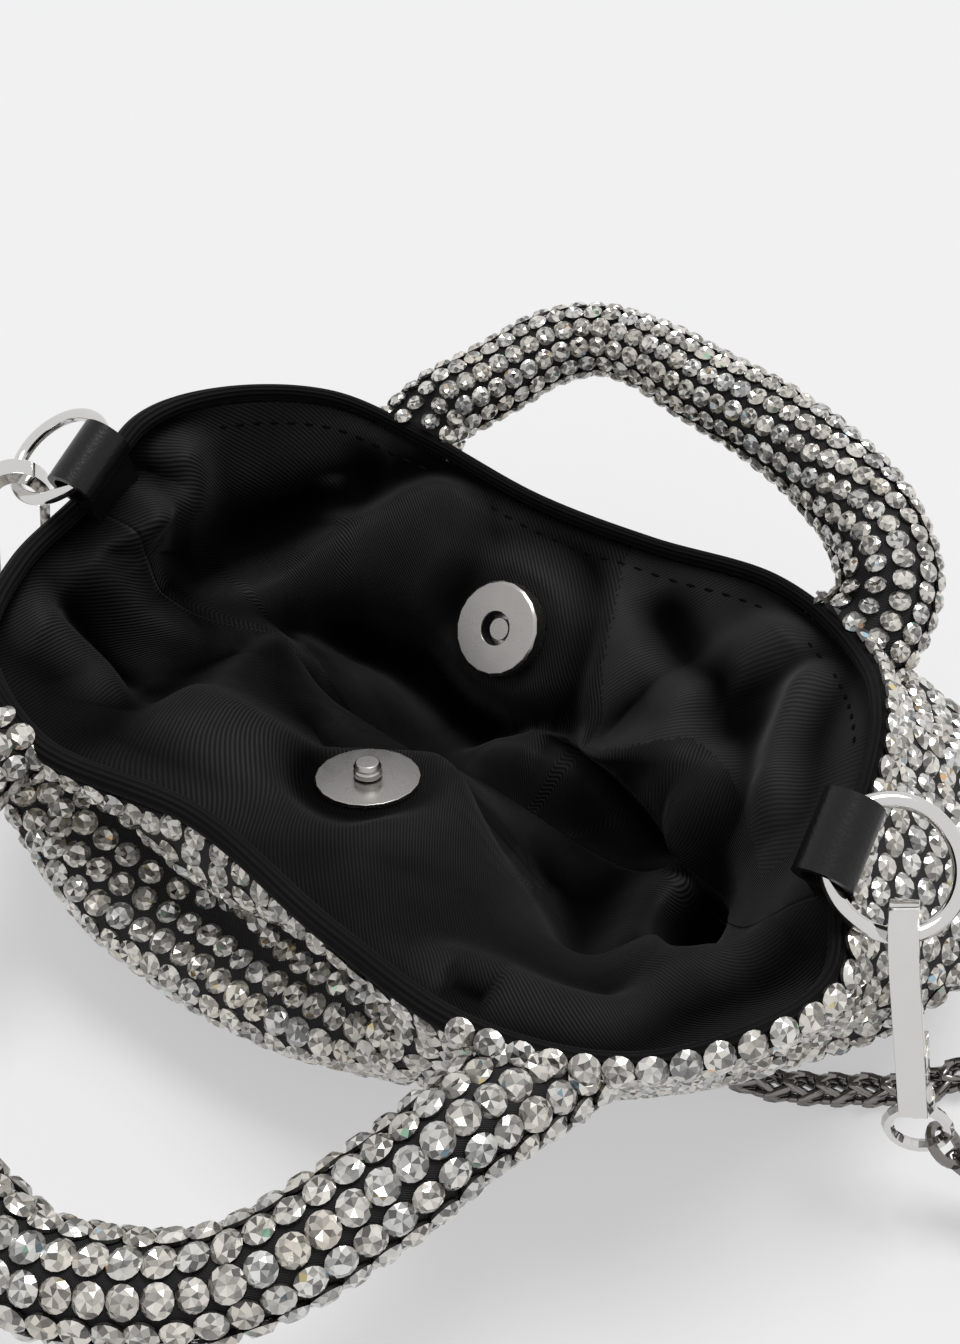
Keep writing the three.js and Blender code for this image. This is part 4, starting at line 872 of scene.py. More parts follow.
# Each handle: its hinge and the plane's two directions, how far it reaches out, the middle line in shares of
# its half width and reach, and how the tube swells, spreads, drops, twists and is pinched on its way
HANDLES = {
    "back": {
        "hinge": (-2.803, 62.595, 49.113), "x": (0.9994, -0.0338, 0.0065), "y": (0.0307, 0.9608, 0.2756),
        "reach": 40.3, "rows": 11, "stone": 0.86, "seeds": (31, 41),
        "ends": (0.188, 0.394), "drop": (4.5, 4.5),
        "shares": [
            (-1.0, 0.0), (-0.96, 0.13), (-0.9, 0.265), (-0.8, 0.54), (-0.716, 0.785), (-0.557, 0.963),
            (-0.332, 1.0), (-0.027, 0.945), (0.265, 0.89), (0.565, 0.78), (0.781, 0.645), (0.943, 0.475),
            (1.045, 0.28), (1.05, 0.12), (1.0, 0.0),
        ],
        "swell": [(0, 1.12), (0.3, 1.05), (0.5, 1.1), (0.8, 1.3), (1, 1.3)],
        "spread": [(0.15, -0.15, 0.0, 12.0), (0.25, -0.25, 0.0, 16.0)],
        "twist": [(0, 0), (0.5, 6), (0.7, 30), (0.86, 95), (1, 120)], "pinch": (0.36, 0.07, 0.1),
    },
    "front": {
        "hinge": (-2.9634, -40.8651, 50.6235), "x": (0.9999, -0.0105, -0.0022),
        "y": (-0.0108, -0.9781, -0.2079), "reach": 62.1, "rows": 9, "stone": 1.02, "seeds": (32, 42),
        "ends": (0.862, 0.681), "drop": (3.5, 3.5),
        "shares": [
            (-1.0, 0.0), (-1.01, 0.09), (-1.0, 0.19), (-0.97, 0.35), (-0.882, 0.53), (-0.755, 0.69),
            (-0.578, 0.825), (-0.353, 0.93), (-0.12, 0.984), (0.1, 1.0), (0.25, 0.995), (0.414, 0.94),
            (0.578, 0.86), (0.71, 0.75), (0.794, 0.63), (0.865, 0.49), (0.93, 0.34), (0.975, 0.175),
            (1.0, 0.0),
        ],
        "swell": [(0, 1.0), (0.5, 1.03), (1, 1.03)],
        "spread": [(0.1, -0.2, 0.0, 12.0), (0.3, -0.35, 2.0, 17.0)],
        "twist": [(0, -20), (0.4, 0), (0.7, 8), (1, 25)], "pinch": (0.72, 0.05, 0.05),
    },
}


def handle_line(handle):
    """The middle line in the frame, from end to end through the hem: hinge + across x + out y."""
    left, right = rim_line(np.array(handle["ends"]))
    half_spacing = np.linalg.norm(right - left) / 2
    out = handle["reach"] - ROOT_OUT
    flat = np.array([(a * half_spacing, ROOT_OUT + b * out, 0) for a, b in handle["shares"]])
    fine = spline(flat, np.linspace(0, 1, FINE_STEPS))
    first = fine[0] - unit(fine[END_STEP] - fine[0]) * HEM_OVERLAP
    last = fine[-1] + unit(fine[-1] - fine[-1 - END_STEP]) * HEM_OVERLAP
    fine = np.concatenate([first[None], fine, last[None]])
    hinge, x, y = (np.array(handle[key]) for key in ("hinge", "x", "y"))
    even, ahead, walked = even_line(hinge + fine[:, :1] * x + fine[:, 1:2] * y, LINE_SPACING)
    return even, ahead, np.cross(x, y), walked


trim_u = np.linspace(0, 1, TRIM_PLACES, endpoint=False)
trim_line, trim_outward = rim_line(trim_u), rim_outward(trim_u)


def nearest_of_rim(points):
    """The number of the rim's nearest place to each point, seen from above."""
    return np.argmin(np.linalg.norm((points[:, None] - trim_line)[..., :2], axis=2), axis=1)


def short_of_hem(points, towards):
    """How far each point goes along towards until it is at the hem's outer side: its level distance from
    the nearest place of the rim over the cosine between the two directions."""
    nearest = nearest_of_rim(points)
    out = np.sum((points - trim_line[nearest]) * trim_outward[nearest], axis=1) - HEM_TRIM
    cosine = -trim_outward[nearest] @ towards
    return np.clip(out / np.maximum(cosine, LEAST_COSINE), *TRIM_LIMITS)


print("handles:", *HANDLES)

# %% [markdown]
# One loop builds both handles. Towards the hem a tube is wider, flatter and lower, because it is sewn
# down there, and both of its ends are cut to the hem's curve. Then the rows of stones are laid along it,
# each from its own random start, so that the stones of two rows do not line up.

# %% Both handles, skin and stones
for name, handle in HANDLES.items():
    line, ahead, plane_normal, walked = handle_line(handle)
    share = walked / walked[-1]
    radius = (HANDLE_RADIUS - BACKING_DEPTH - SKIN_GAP) * np.interp(share, *zip(*handle["swell"]))
    place, width, depth = handle["pinch"]
    radius *= 1 - depth * np.exp(-(((share - place) / width) ** 2))
    twist = np.radians(np.interp(share, *zip(*handle["twist"])))
    side = unit(np.cross(ahead, plane_normal))
    over = np.cross(side, ahead)

    wide, flat = np.ones(len(line)), np.ones(len(line))
    shift, lowered = np.zeros(len(line)), np.zeros(len(line))
    ends = zip((walked, walked[-1] - walked), handle["spread"], handle["drop"])
    for from_end, (widen, flatten, aside, reach), drop in ends:
        nearness = 1 - smooth_step(from_end, 0.0, reach)
        wide += widen * nearness
        flat += flatten * nearness
        shift += aside * nearness
        lowered += drop * nearness
    line = line + side * shift[:, None] * np.sign(side[:, :1])
    line[:, 2] -= lowered

    def around(angle, lift, keep):
        """Points at an angle round the tube, at the backing's radius plus lift: the section is an ellipse,
        wider in the handle's plane and flatter across it towards the hem."""
        across = np.cos(angle + twist[keep])[:, None] * side[keep]
        outwards = np.sin(angle + twist[keep])[:, None] * over[keep]
        direction = across * wide[keep, None] + outwards * flat[keep, None]
        facing = across / wide[keep, None] + outwards / flat[keep, None]
        points = line[keep] + direction * (radius[keep] + lift)[:, None]
        for towards, short, near in trims:
            points = points + towards * (np.interp(angle % TURN, trim_angles, short) * near[keep])[:, None]
        return points, unit(facing)

    # Both ends are cut to the hem: every line along the tube is drawn out or in until it meets it
    trims, found = [], []
    trim_angles = np.linspace(0, TURN, TRIM_ANGLES)
    for end, towards, from_end in ((0, -ahead[0], walked), (-1, ahead[-1], walked[-1] - walked)):
        ring = np.concatenate([around(angle, 0.0, np.array([end]))[0] for angle in trim_angles])
        found.append((towards, short_of_hem(ring, towards), 1 - smooth_step(from_end, 0.0, TRIM_REACH)))
    trims = found

    tube_angles = np.arange(TUBE_SIDES) * TURN / TUBE_SIDES
    kept_steps = np.arange(0, len(line), TUBE_STEP)
    skin = np.stack([around(angle, 0.0, kept_steps)[0] for angle in tube_angles], axis=1)
    caps = [np.repeat(skin[end].mean(axis=0)[None], TUBE_SIDES, axis=0)[None] for end in (0, -1)]
    tube = grid_piece(
        f"{name}_handle_mesh", np.concatenate([caps[0], skin, caps[1]]),
        even_places(TUBE_STEP * LINE_SPACING, TUBE_ROUND / TUBE_SIDES), columns_close=True, flip=True,
    )
    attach(tube, f"{name}_handle")
    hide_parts(f"{name}_handle_cover")
    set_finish(tube, "crystal_mesh")
    mesh_pieces.append(tube)

    row_seed, stone_seed = handle["seeds"]
    draw = np.random.default_rng(row_seed)
    stone_step = STONE_SPACING * handle["stone"]
    steps = np.arange(len(line))
    rows = []
    for row in range(handle["rows"]):
        row_points, row_normals = around(TURN * row / handle["rows"], STONE_LIFT, steps)
        walked_row = line_lengths(row_points)
        first, last = draw.uniform(*ROW_ENDS, 2) * stone_step
        count = round((walked_row[-1] - first - last) / stone_step) + 1
        spot = np.interp(np.linspace(first, walked_row[-1] - last, count), walked_row, steps)
        row_grids = (row_points, row_normals, np.gradient(row_points, axis=0))
        rows.append([read_off(spot, steps, grid) for grid in row_grids])
    places, normals, directions = (np.concatenate(part) for part in zip(*rows))
    stones = stones_piece(
        f"{name}_handle_crystals", places, unit(normals), unit(directions), stone_seed, handle["stone"],
    )
    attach(stones, f"{name}_handle")
    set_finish(stones, "crystal_mesh")
    crystal_pieces.append(stones)
    print(name, "handle:", round(walked[-1]), "mm long,", len(places), "stones")

# %% [markdown]
# The lining is a satin twill pouch, cut larger than the bag, so it hangs in big soft folds. Its even
# surface comes from the same kind of profiles. The folds are added along its normal, each a soft ridge
# with a gentle side and a steep side.

# %% Lining with its folds
LINING_COLUMNS = 480
LINING_ROWS = 150
SNAP_SEATS = [
    ((-12.9867, 42.8319, 30.4400), (-0.1514, -0.7569, 0.6358)),
    ((-10.4660, -3.8647, 31.3690), (-0.1751, 0.2461, 0.9533)),
]
SEAT_GAP = 0.45
SEAT_RADIUS = 12.0
SEAT_FADE = 9.0
FLOOR_SHARES = (0.4, 0.8)
FOLD_ENDS = (-0.08, 0.22)
HEM_FADE = (0.5, 7.0)
SEAM_SHARES = (0.8, 1.0)
SEAM_FADE = 0.7
FOLD_STEPS = 28
LEAST_DISTANCE = 0.5

# Each fold: height into the bag in mm (less than 0 is a hollow), reach of the slope to its left and to its
# right in mm, and its middle line as places on the even lining, as one walks along it with the head inwards.
LINING_FOLDS = [
    # The back wall's cloth hangs over the left half in one big plane, with a hollow behind its edge
    (7.5, 4.5, 17, [(-67, 7, 31), (-61, 32, 28), (-51, 46, 35), (-43, 55, 39), (-32, 64, 42)]),
    (-5.0, 7, 7, [(-72, 18, 38), (-65, 38, 37), (-57, 50, 40), (-52, 58, 43)]),
    (3.0, 4, 4, [(-62, 50, 43), (-58, 47, 39), (-56, 43, 35)]),
    # The left end is drawn together in upright folds
    (5.5, 7, 5, [
        (-84, 22, 60), (-80, 25, 54), (-78, 22, 48), (-78, 13, 49), (-76, 5, 46), (-71, 5, 37),
    ]),
    (4.5, 5, 6, [
        (-83, 10, 59), (-79, 4, 53), (-79, -3, 50), (-71, -2, 39), (-63, 5, 27), (-52, 27, 16),
    ]),
    (5.5, 5, 5, [(-82, 8, 62), (-79, 9, 56), (-75, 10, 47)]),
    (4.5, 6, 6, [(-79, -14, 53), (-75, -21, 50), (-69, -20, 45), (-61, -20, 40), (-54, -26, 41)]),
    (-3.0, 5, 5, [(-76, -12, 48), (-68, -12, 38), (-58, -12, 32)]),
    # A low mound crosses from the left front to the middle, and a valley runs behind it
    (7.0, 5, 18, [
        (-41, -30, 42), (-45, -13, 33), (-53, 12, 18), (-46, 24, 14), (-35, 27, 13), (-18, 26, 13),
    ]),
    (-6.0, 8, 8, [(-52, 29, 16), (-41, 33, 17), (-27, 34, 17), (-14, 34, 15), (3, 32, 14)]),
    # The lighter panel right of the seam ends in a rounded lower edge and has V folds
    (5.0, 9, 4, [(0, 64, 40), (9, 48, 33), (13, 40, 25), (19, 37, 22), (27, 39, 28), (37, 43, 35)]),
    (4.5, 5, 8, [(42, 66, 48), (36, 57, 42), (30, 50, 37), (25, 41, 30)]),
    (-4.0, 5, 5, [(9, 60, 40), (19, 54, 38), (28, 50, 36), (35, 49, 38)]),
    (5.0, 5, 6, [(47, 57, 46), (50, 44, 43), (52, 36, 42), (59, 20, 42)]),
    # The right front's cloth stands up in a great soft mound, then doubles back round a deep hollow
    (9.0, 5, 17, [
        (5, -22, 42), (-3, -4, 30), (-7, 11, 14), (-3, 24, 13), (9, 34, 15), (24, 37, 23), (38, 35, 30),
        (51, 28, 36),
    ]),
    (3.5, 9, 9, [(8, 24, 12), (20, 28, 13), (32, 29, 17), (41, 28, 22)]),
    (-5.5, 8, 8, [(12, 12, 13), (21, 13, 12), (30, 5, 14), (38, -4, 22), (43, -12, 31)]),
    (7.5, 6, 7, [
        (46, 33, 33), (44, 24, 21), (42, 14, 14), (45, 1, 18), (53, -12, 32), (60, -14, 38), (66, -6, 40),
        (69, 1, 46),
    ]),
    (-7.0, 6, 6, [(50, -3, 24), (49, 8, 17), (53, 15, 24)]),
    # Small creases by the front handle's right end
    (-3.5, 4, 4, [(30, -34, 45), (38, -34, 42)]),
    (4.0, 5, 5, [(24, -37, 45), (34, -33, 41), (46, -31, 42), (55, -27, 44), (61, -15, 40)]),
]


def pouch_surface(u, v):
    """The lining's face with its folds, pressed flat under both halves of the snap. A fold is a bell
    exp(-(d / reach)^2) of the distance d from its middle line, with its own reach on each side, and it
    fades out at both ends and at the hem."""
    even = lining_surface(u, v)
    inward = -grid_normals(even)
    low = smooth_step(v, *FLOOR_SHARES)[None, :, None]
    lift = unit(inward * (1 - low) + UP * low)
    rise = np.zeros(even.shape[:2])
    for height, left_reach, right_reach, places in LINING_FOLDS:
        corners = spline(places, np.linspace(0, 1, FOLD_STEPS))
        distance, arrow, ahead, passed = nearest_on_run(even, corners)
        leftness = np.sum(np.cross(ahead, arrow) * inward, axis=2) / np.maximum(distance, LEAST_DISTANCE)
        reach = right_reach + (left_reach - right_reach) * (0.5 + 0.5 * np.clip(leftness, -1, 1))
        ends = smooth_step(passed, *FOLD_ENDS) * smooth_step(1 - passed, *FOLD_ENDS)
        rise += height * ends * np.exp(-((distance / reach) ** 2))
    fade = smooth_step(walked_down(even), *HEM_FADE) * (1 - SEAM_FADE * smooth_step(v, *SEAM_SHARES))
    points = even + lift * (rise * fade)[..., None]
    for middle, facing in np.array(SNAP_SEATS):
        away = points - (middle - facing * SEAT_GAP)
        nearness = 1 - smooth_step(np.linalg.norm(away, axis=2), SEAT_RADIUS, SEAT_RADIUS + SEAT_FADE)
        points = points - facing * (np.sum(away * facing, axis=2) * nearness)[..., None]
    return points


pouch = pouch_surface(np.arange(LINING_COLUMNS) / LINING_COLUMNS, np.linspace(0, 1, LINING_ROWS))
pouch_down = walked_down(pouch)
print("lining is", round(pouch_down[:, -1].mean()), "mm down to its seam")

# %% [markdown]
# Black satin shows its folds by its gloss, and here that is painted: each place of the lining gets a number,
# from 0 deep in a hollow to 1 on a ridge, and its finish paints hollows darker and ridges paler and glossier.
# The back lining also has a paler panel to the right of a seam, where the twill runs the other way.

# %% Painted shade and sheen on the folds, and the two halves of the lining
LINING_THICKNESS = 0.35
# How far round and down the cloth is averaged, and the range in mm, for the painted shade and sheen of the
# folds
PAINTED_SHADE_ROUND = 10
PAINTED_SHADE_DOWN = 24
PAINTED_SHADE_RANGE = 1.6
WIDTH_COLUMN = 60

# The seam as (down, round) shares, and the panel's lower edge as (round, down) shares
PALE_SEAM = [(0.033, 0.293), (0.325, 0.321), (0.492, 0.345)]
PALE_FOOT = [(0.345, 0.5), (0.366, 0.42), (0.385, 0.34), (0.42, 0.3), (0.47, 0.3), (0.471, 0.0)]


def stands_out(surface, round_reach, down_reach):
    """How far each place stands into the bag from the mean of the cloth round it, in mm. The mean is
    weighed by a triangle, first round the bag and then down it."""
    mean = surface
    for axis, reach, ends in ((0, round_reach, "wrap"), (1, down_reach, "edge")):
        weights = 1 - np.abs(np.arange(-reach, reach + 1)) / (reach + 1)
        padding = [(0, 0)] * 3
        padding[axis] = (reach, reach)
        padded = np.pad(mean, padding, mode=ends)
        steps = np.arange(surface.shape[axis])
        mean = sum(w * np.take(padded, steps + k, axis=axis) for k, w in enumerate(weights / weights.sum()))
    return np.sum((mean - surface) * grid_normals(surface), axis=2)


# Painted shade and sheen of the folds: 0 deep in a hollow, 1 on a ridge
pouch_painted_shade = smooth_step(stands_out(pouch, PAINTED_SHADE_ROUND, PAINTED_SHADE_DOWN), -PAINTED_SHADE_RANGE, PAINTED_SHADE_RANGE)
lining_pieces = []
for half in ("back", "front"):
    columns = half_columns(half, LINING_COLUMNS)
    sheet = pouch[columns]
    round_mm = line_lengths(sheet[:, WIDTH_COLUMN])
    cloth = grid_piece(f"{half}_lining", sheet, walked_places(round_mm, pouch_down[columns]))
    _, step_i, step_j = grid_faces(*sheet.shape[:2])
    face_u = (columns[0] + step_i.mean(axis=1)) / LINING_COLUMNS
    face_v = step_j.mean(axis=1) / (LINING_ROWS - 1)
    pale = (face_u > np.interp(face_v, *zip(*PALE_SEAM))) & (face_v < np.interp(face_u, *zip(*PALE_FOOT)))
    cloth.data.polygons.foreach_set("material_index", pale.astype(np.int32))
    # The painted shade and sheen of the folds goes onto the lining as a point attribute
    light = cloth.data.attributes.new("painted_fold_shade", "FLOAT", "POINT")
    light.data.foreach_set("value", pouch_painted_shade[columns].ravel().astype(np.float32))
    thicken(cloth, LINING_THICKNESS)
    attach(cloth, "bag")
    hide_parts(f"{half}_lining_panel")
    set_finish(cloth, "lining")
    lining_pieces.append(cloth)
    patches = np.cross(np.gradient(sheet, axis=0), np.gradient(sheet, axis=1))[:-1, :-1]
    print(half, "lining:", round(np.linalg.norm(patches, axis=2).sum() / 100), "square cm of satin")

# %% [markdown]
# The hem is a narrow ribbed binding rolled over both edges. Its section is an ellipse with fine lobes,
# carried round the rim. It is pressed flatter and plainer along the back.

# %% Ribbed hem
HEM_WIDTH = 1.95
FLAT_HEM_WIDTH = 1.2
HEM_STEPS = 420
HEM_SIDES = 40
HEM_LOBES = 10
LOBE_HEIGHT = 0.05
HEM_ROUND = 430.0
HEM_ACROSS = 11.0
FLAT_FROM = (0.05, 0.12)
FLAT_TO = (0.36, 0.42)

hem_u = np.arange(HEM_STEPS) / HEM_STEPS
hem_angles = np.arange(HEM_SIDES) * TURN / HEM_SIDES
flatness = (smooth_step(hem_u, *FLAT_FROM) * (1 - smooth_step(hem_u, *FLAT_TO)))[:, None]
lobes = 1 + LOBE_HEIGHT * (1 - flatness) * np.cos(HEM_LOBES * hem_angles)
hem_width = HEM_WIDTH + (FLAT_HEM_WIDTH - HEM_WIDTH) * flatness
hem_points = (
    rim_line(hem_u)[:, None]
    + rim_outward(hem_u)[:, None] * (hem_width * lobes * np.cos(hem_angles))[..., None]
    + UP * (HEM_RADIUS * lobes * np.sin(hem_angles))[..., None]
)
hem = grid_piece(
    "ribbed_hem", hem_points, even_places(HEM_ROUND / HEM_STEPS, HEM_ACROSS / HEM_SIDES),
    rows_close=True, columns_close=True, flip=True,
)
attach(hem, "bag")
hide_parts("rolled_hem")
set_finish(hem, "lining")
print("hem:", len(hem_points), "steps round,", HEM_LOBES, "lobes across")

# %% [markdown]
# A row of black stitches runs along the back, a little below the hem. Each stitch is a short thread that
# rises from the cloth and dives into it again, thinner towards both ends.

# %% Stitches below the hem
STITCH_DOWN = 4.2
STITCH_PROBE = 1.0
STITCH_STEP = 3.7
STITCH_LENGTH = 2.9
STITCH_RADIUS = 0.36
STITCH_SIDES = 6
STITCH_POINTS = 7
STITCH_LEAST = 0.02
STITCH_LINE_STEPS = 600
STITCH_RISE = 0.8
STITCH_DIVE = 1.2
STITCHED = (0.085, 0.455)


def on_lining(around, level):
    """Places on the lining at shares of the way round and one distance down from the hem."""
    columns = np.asarray(around) * LINING_COLUMNS
    low = np.floor(columns).astype(int)
    before, after = (
        np.concatenate([read_off([level], pouch_down[c], pouch[c]) for c in picked % LINING_COLUMNS])
        for picked in (low, low + 1)
    )
    weight = (columns - low)[:, None]
    return before * (1 - weight) + after * weight


stitch_u = np.linspace(*STITCHED, STITCH_LINE_STEPS)
stitch_line = on_lining(stitch_u, STITCH_DOWN)
stitch_under = on_lining(stitch_u, STITCH_DOWN + STITCH_PROBE)
stitch_walked = line_lengths(stitch_line)
stitch_normal = unit(np.cross(stitch_under - stitch_line, np.gradient(stitch_line, axis=0)))
stitch_normal *= np.sign(np.sum(stitch_normal * -rim_outward(stitch_u), axis=1))[:, None]
way = np.linspace(-1, 1, STITCH_POINTS)
thread_radius = STITCH_RADIUS * np.sqrt(np.maximum(1 - way**2, STITCH_LEAST))
lift = (STITCH_RADIUS * (STITCH_RISE - STITCH_DIVE * way**2))[:, None]
threads = []
for middle in np.arange(STITCH_STEP, stitch_walked[-1] - STITCH_STEP, STITCH_STEP):
    here = middle + way * STITCH_LENGTH / 2
    path = read_off(here, stitch_walked, stitch_line) + read_off(here, stitch_walked, stitch_normal) * lift
    threads.append(tube_points(path, STITCH_SIDES, thread_radius).reshape(-1, 3))
ring_faces = grid_faces(len(way), STITCH_SIDES, False, True)[0]
thread_faces = copied_faces(ring_faces, len(threads), len(way) * STITCH_SIDES)
stitches = new_piece("hem_stitches", np.concatenate(threads), [thread_faces])
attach(stitches, "bag")
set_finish(stitches, "lining")
print("stitches:", len(threads))

# %% [markdown]
# Metal and leather fittings
#
# The rings, hooks, tabs and snap discs have their true shape in the frame already. Each ring is drawn
# again as round wire in its band's place. Of the others a copy is made, its loose triangles are joined,
# and its edges are rounded a little, as plating and tumbling round them on the real pieces.

# %% Finer copies of the fittings
EDGE_STEPS = 3
EDGE_ANGLE = math.radians(35)
FLAT_ANGLE = math.radians(1.5)
RING_WIRE = 1.25
RING_STEPS = 96
RING_SIDES = 24
TAIL_SHIFT = 3.2
TAIL_DEPTHS = (0.5, 3.0)


def finer_copy(node, name, edge_mm):
    """A joined copy of a node's mesh with rounded edges, which stands for the node."""
    mesh = frame["nodes"][node].data.copy()
    piece = bpy.data.objects.new(name, mesh)
    bpy.context.scene.collection.objects.link(piece)
    mesh.materials.clear()
    work = bmesh.new()
    work.from_mesh(mesh)
    bmesh.ops.remove_doubles(work, verts=work.verts, dist=1e-6)
    bmesh.ops.dissolve_limit(work, angle_limit=FLAT_ANGLE, verts=work.verts, edges=work.edges)
    for face in work.faces:
        face.smooth = True
    work.to_mesh(mesh)
    work.free()
    bevel = piece.modifiers.new("rounded_edges", "BEVEL")
    bevel.width = edge_mm * METRES
    bevel.segments = EDGE_STEPS
    bevel.limit_method = "ANGLE"
    bevel.angle_limit = EDGE_ANGLE
    bevel.use_clamp_overlap = True
    piece.modifiers.new("even_shading", "WEIGHTED_NORMAL")
    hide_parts(node)
    return piece


def corners_of(piece):
    """The corner places of a piece, in mm."""
    return np.array([v.co[:] for v in piece.data.vertices]) / METRES


def round_ring(node, name):
    """A ring of round wire in the place of a node's band: its middle is the mean of the node's corners and
    its axis the direction in which they spread least."""
    corners = corners_of(frame["nodes"][node])
    middle = corners.mean(axis=0)
    _, spread = np.linalg.eigh(np.cov((corners - middle).T))
    axis, first = spread[:, 0], spread[:, 2]
    second = np.cross(axis, first)
    angles = (np.arange(RING_STEPS) * TURN / RING_STEPS)[:, None]
    outer = np.linalg.norm(corners - middle, axis=1).max()
    line = middle + (outer - RING_WIRE) * (np.cos(angles) * first + np.sin(angles) * second)
    ring = grid_piece(
        name, tube_points(line, RING_SIDES, RING_WIRE, closed=True, across=axis),
        lambda i, j: np.stack([i / RING_STEPS, j / RING_SIDES], axis=2),
        rows_close=True, columns_close=True,
    )
    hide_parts(node)
    return ring


def tuck_under_hem(piece):
    """Moves a tab's inner tail outwards under the hem, to where it is sewn between lining and mesh."""
    corners = corners_of(piece)
    nearest = nearest_of_rim(corners)
    away = corners - trim_line[nearest]
    inner = np.sum(away * trim_outward[nearest], axis=1) < TAIL_SHIFT / 2
    moved = TAIL_SHIFT * smooth_step(-away[:, 2], *TAIL_DEPTHS) * inner
    corners += trim_outward[nearest] * moved[:, None]
    piece.data.vertices.foreach_set("co", (corners * METRES).ravel())


# For each node: the copy's name, its body, how far its edges are rounded in mm, and its slot
copies = {}
fittings = []
for side_name in ("left", "right"):
    ring = round_ring(f"{side_name}_ring", f"{side_name}_polished_ring")
    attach(ring, f"{side_name}_ring")
    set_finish(ring, "nickel")
    fittings.append(ring)
    copies[f"{side_name}_hook_frame"] = (f"{side_name}_snap_hook", f"{side_name}_hook", 0.5, "nickel")
    copies[f"{side_name}_hook_gate"] = (f"{side_name}_spring_gate", f"{side_name}_gate", 0.3, "nickel")
    copies[f"{side_name}_leather_tab"] = (f"{side_name}_tab", "bag", 0.4, "leather")
copies["snap_socket_cap"] = ("snap_socket_disc", "bag", 0.12, "satin_nickel")
copies["snap_stud_plate"] = ("snap_stud_disc", "bag", 0.2, "satin_nickel")
copies["snap_stud"] = ("snap_post", "bag", 0.15, "satin_nickel")
for node, (name, body, edge, slot_name) in copies.items():
    piece = finer_copy(node, name, edge)
    if node.endswith("leather_tab"):
        tuck_under_hem(piece)
    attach(piece, body)
    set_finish(piece, slot_name)
    fittings.append(piece)
print("finer fittings:", len(fittings))

# %% [markdown]
# Materials come last, when all surfaces are there. Each finish reads either the piece's own cloth
# places or its object coordinates. A finish is a few nodes, and most are the same few: a pattern, two
# tones between which it leads, and the same pattern as fine relief.

# %% Nodes that the finishes share
def new_finish(name, **sockets):
    """A material with one Principled shader and plain values on its sockets."""
    finish = bpy.data.materials.new(name)
    finish.use_nodes = True
    shader = finish.node_tree.nodes["Principled BSDF"]
    for socket, value in sockets.items():
        shader.inputs[socket.replace("_", " ")].default_value = value
    return finish, finish.node_tree, shader


def add_node(tree, kind, inputs=None, **settings):
    """A node with its settings. Each of its inputs is given a plain value or another node's output."""
    node = tree.nodes.new("ShaderNode" + kind)
    for key, value in settings.items():
        setattr(node, key, value)
    for key, value in (inputs or {}).items():
        if isinstance(value, bpy.types.NodeSocket):
            tree.links.new(value, node.inputs[key])
        else:
            node.inputs[key].default_value = value
    return node


def noise(tree, scale, detail=2.0):
    """Cloudy noise in the piece's object coordinates, with a number of clouds to the metre."""
    where = add_node(tree, "TexCoord").outputs["Object"]
    return add_node(tree, "TexNoise", {"Vector": where, "Scale": scale, "Detail": detail}).outputs["Fac"]


def tones(tree, factor, dark, light, low=0.0, high=1.0):
    """A colour that goes from dark to light while the factor goes from low to high."""
    ramp = add_node(tree, "ValToRGB", {"Fac": factor})
    for element, place, colour in zip(ramp.color_ramp.elements, (low, high), (dark, light)):
        element.position = place
        element.color = (*colour, 1)
    return ramp.outputs["Color"]


def add_relief(tree, shader, height, strength, depth_mm):
    """A pattern as fine relief: it turns the shader's normal as if it stood out by depth_mm."""
    relief = {"Height": height, "Strength": strength, "Distance": depth_mm * METRES}
    tree.links.new(add_node(tree, "Bump", relief).outputs["Normal"], shader.inputs["Normal"])


def product(tree, first, second):
    """Two numbers multiplied."""
    return add_node(tree, "Math", {0: first, 1: second}, operation="MULTIPLY").outputs[0]


# %% [markdown]
# A foiled stone throws back its surroundings like a mirror, under clear glass. Its colour is its facet's
# painted reflection tone, a little warmer or cooler from place to place. The mesh under the stones is a black
# net.

# %% Crystal and mesh
crystal, tree, shader = new_finish(
    "foiled_crystal", Metallic=0.55, Roughness=0.12, Coat_Weight=0.7, Coat_Roughness=0.03, Coat_IOR=1.55,
)
# The facet's painted reflection, times a cloudy tint
painted_facet_reflection = add_node(tree, "Attribute", attribute_name="painted_facet_reflection").outputs["Color"]
cloud = tones(tree, noise(tree, 160), (0.74, 0.706, 0.642), (0.87, 0.845, 0.783), 0.35, 0.7)
mix = add_node(tree, "Mix", data_type="RGBA", blend_type="MULTIPLY")
mix.inputs["Factor"].default_value = 1.0
tree.links.new(painted_facet_reflection, mix.inputs[6])
tree.links.new(cloud, mix.inputs[7])
tree.links.new(mix.outputs[2], shader.inputs["Base Color"])

black_mesh, tree, shader = new_finish("black_mesh", Roughness=0.85, Base_Color=(0.008, 0.008, 0.009, 1))
where = add_node(tree, "TexCoord").outputs["UV"]
stretched = add_node(tree, "Mapping", {"Vector": where, "Scale": (1500, 1500, 1)}).outputs["Vector"]
net = add_node(
    tree, "TexWave", {"Vector": stretched, "Scale": 1.0, "Distortion": 1.2}, bands_direction="DIAGONAL",
).outputs["Fac"]
shade = tones(tree, net, (0.004, 0.004, 0.004), (0.016, 0.016, 0.017))
tree.links.new(shade, shader.inputs["Base Color"])
add_relief(tree, shader, net, 0.6, 0.3)
print("finishes:", crystal.name, black_mesh.name)

# %% [markdown]
# The lining, the hem's binding and the thread are black cloth. Twill has fine slanted ribs, so its
# pattern is a wave across the cloth places. On the lining a painted shade and sheen from the folds' shape
# makes ridges paler and glossier than hollows.

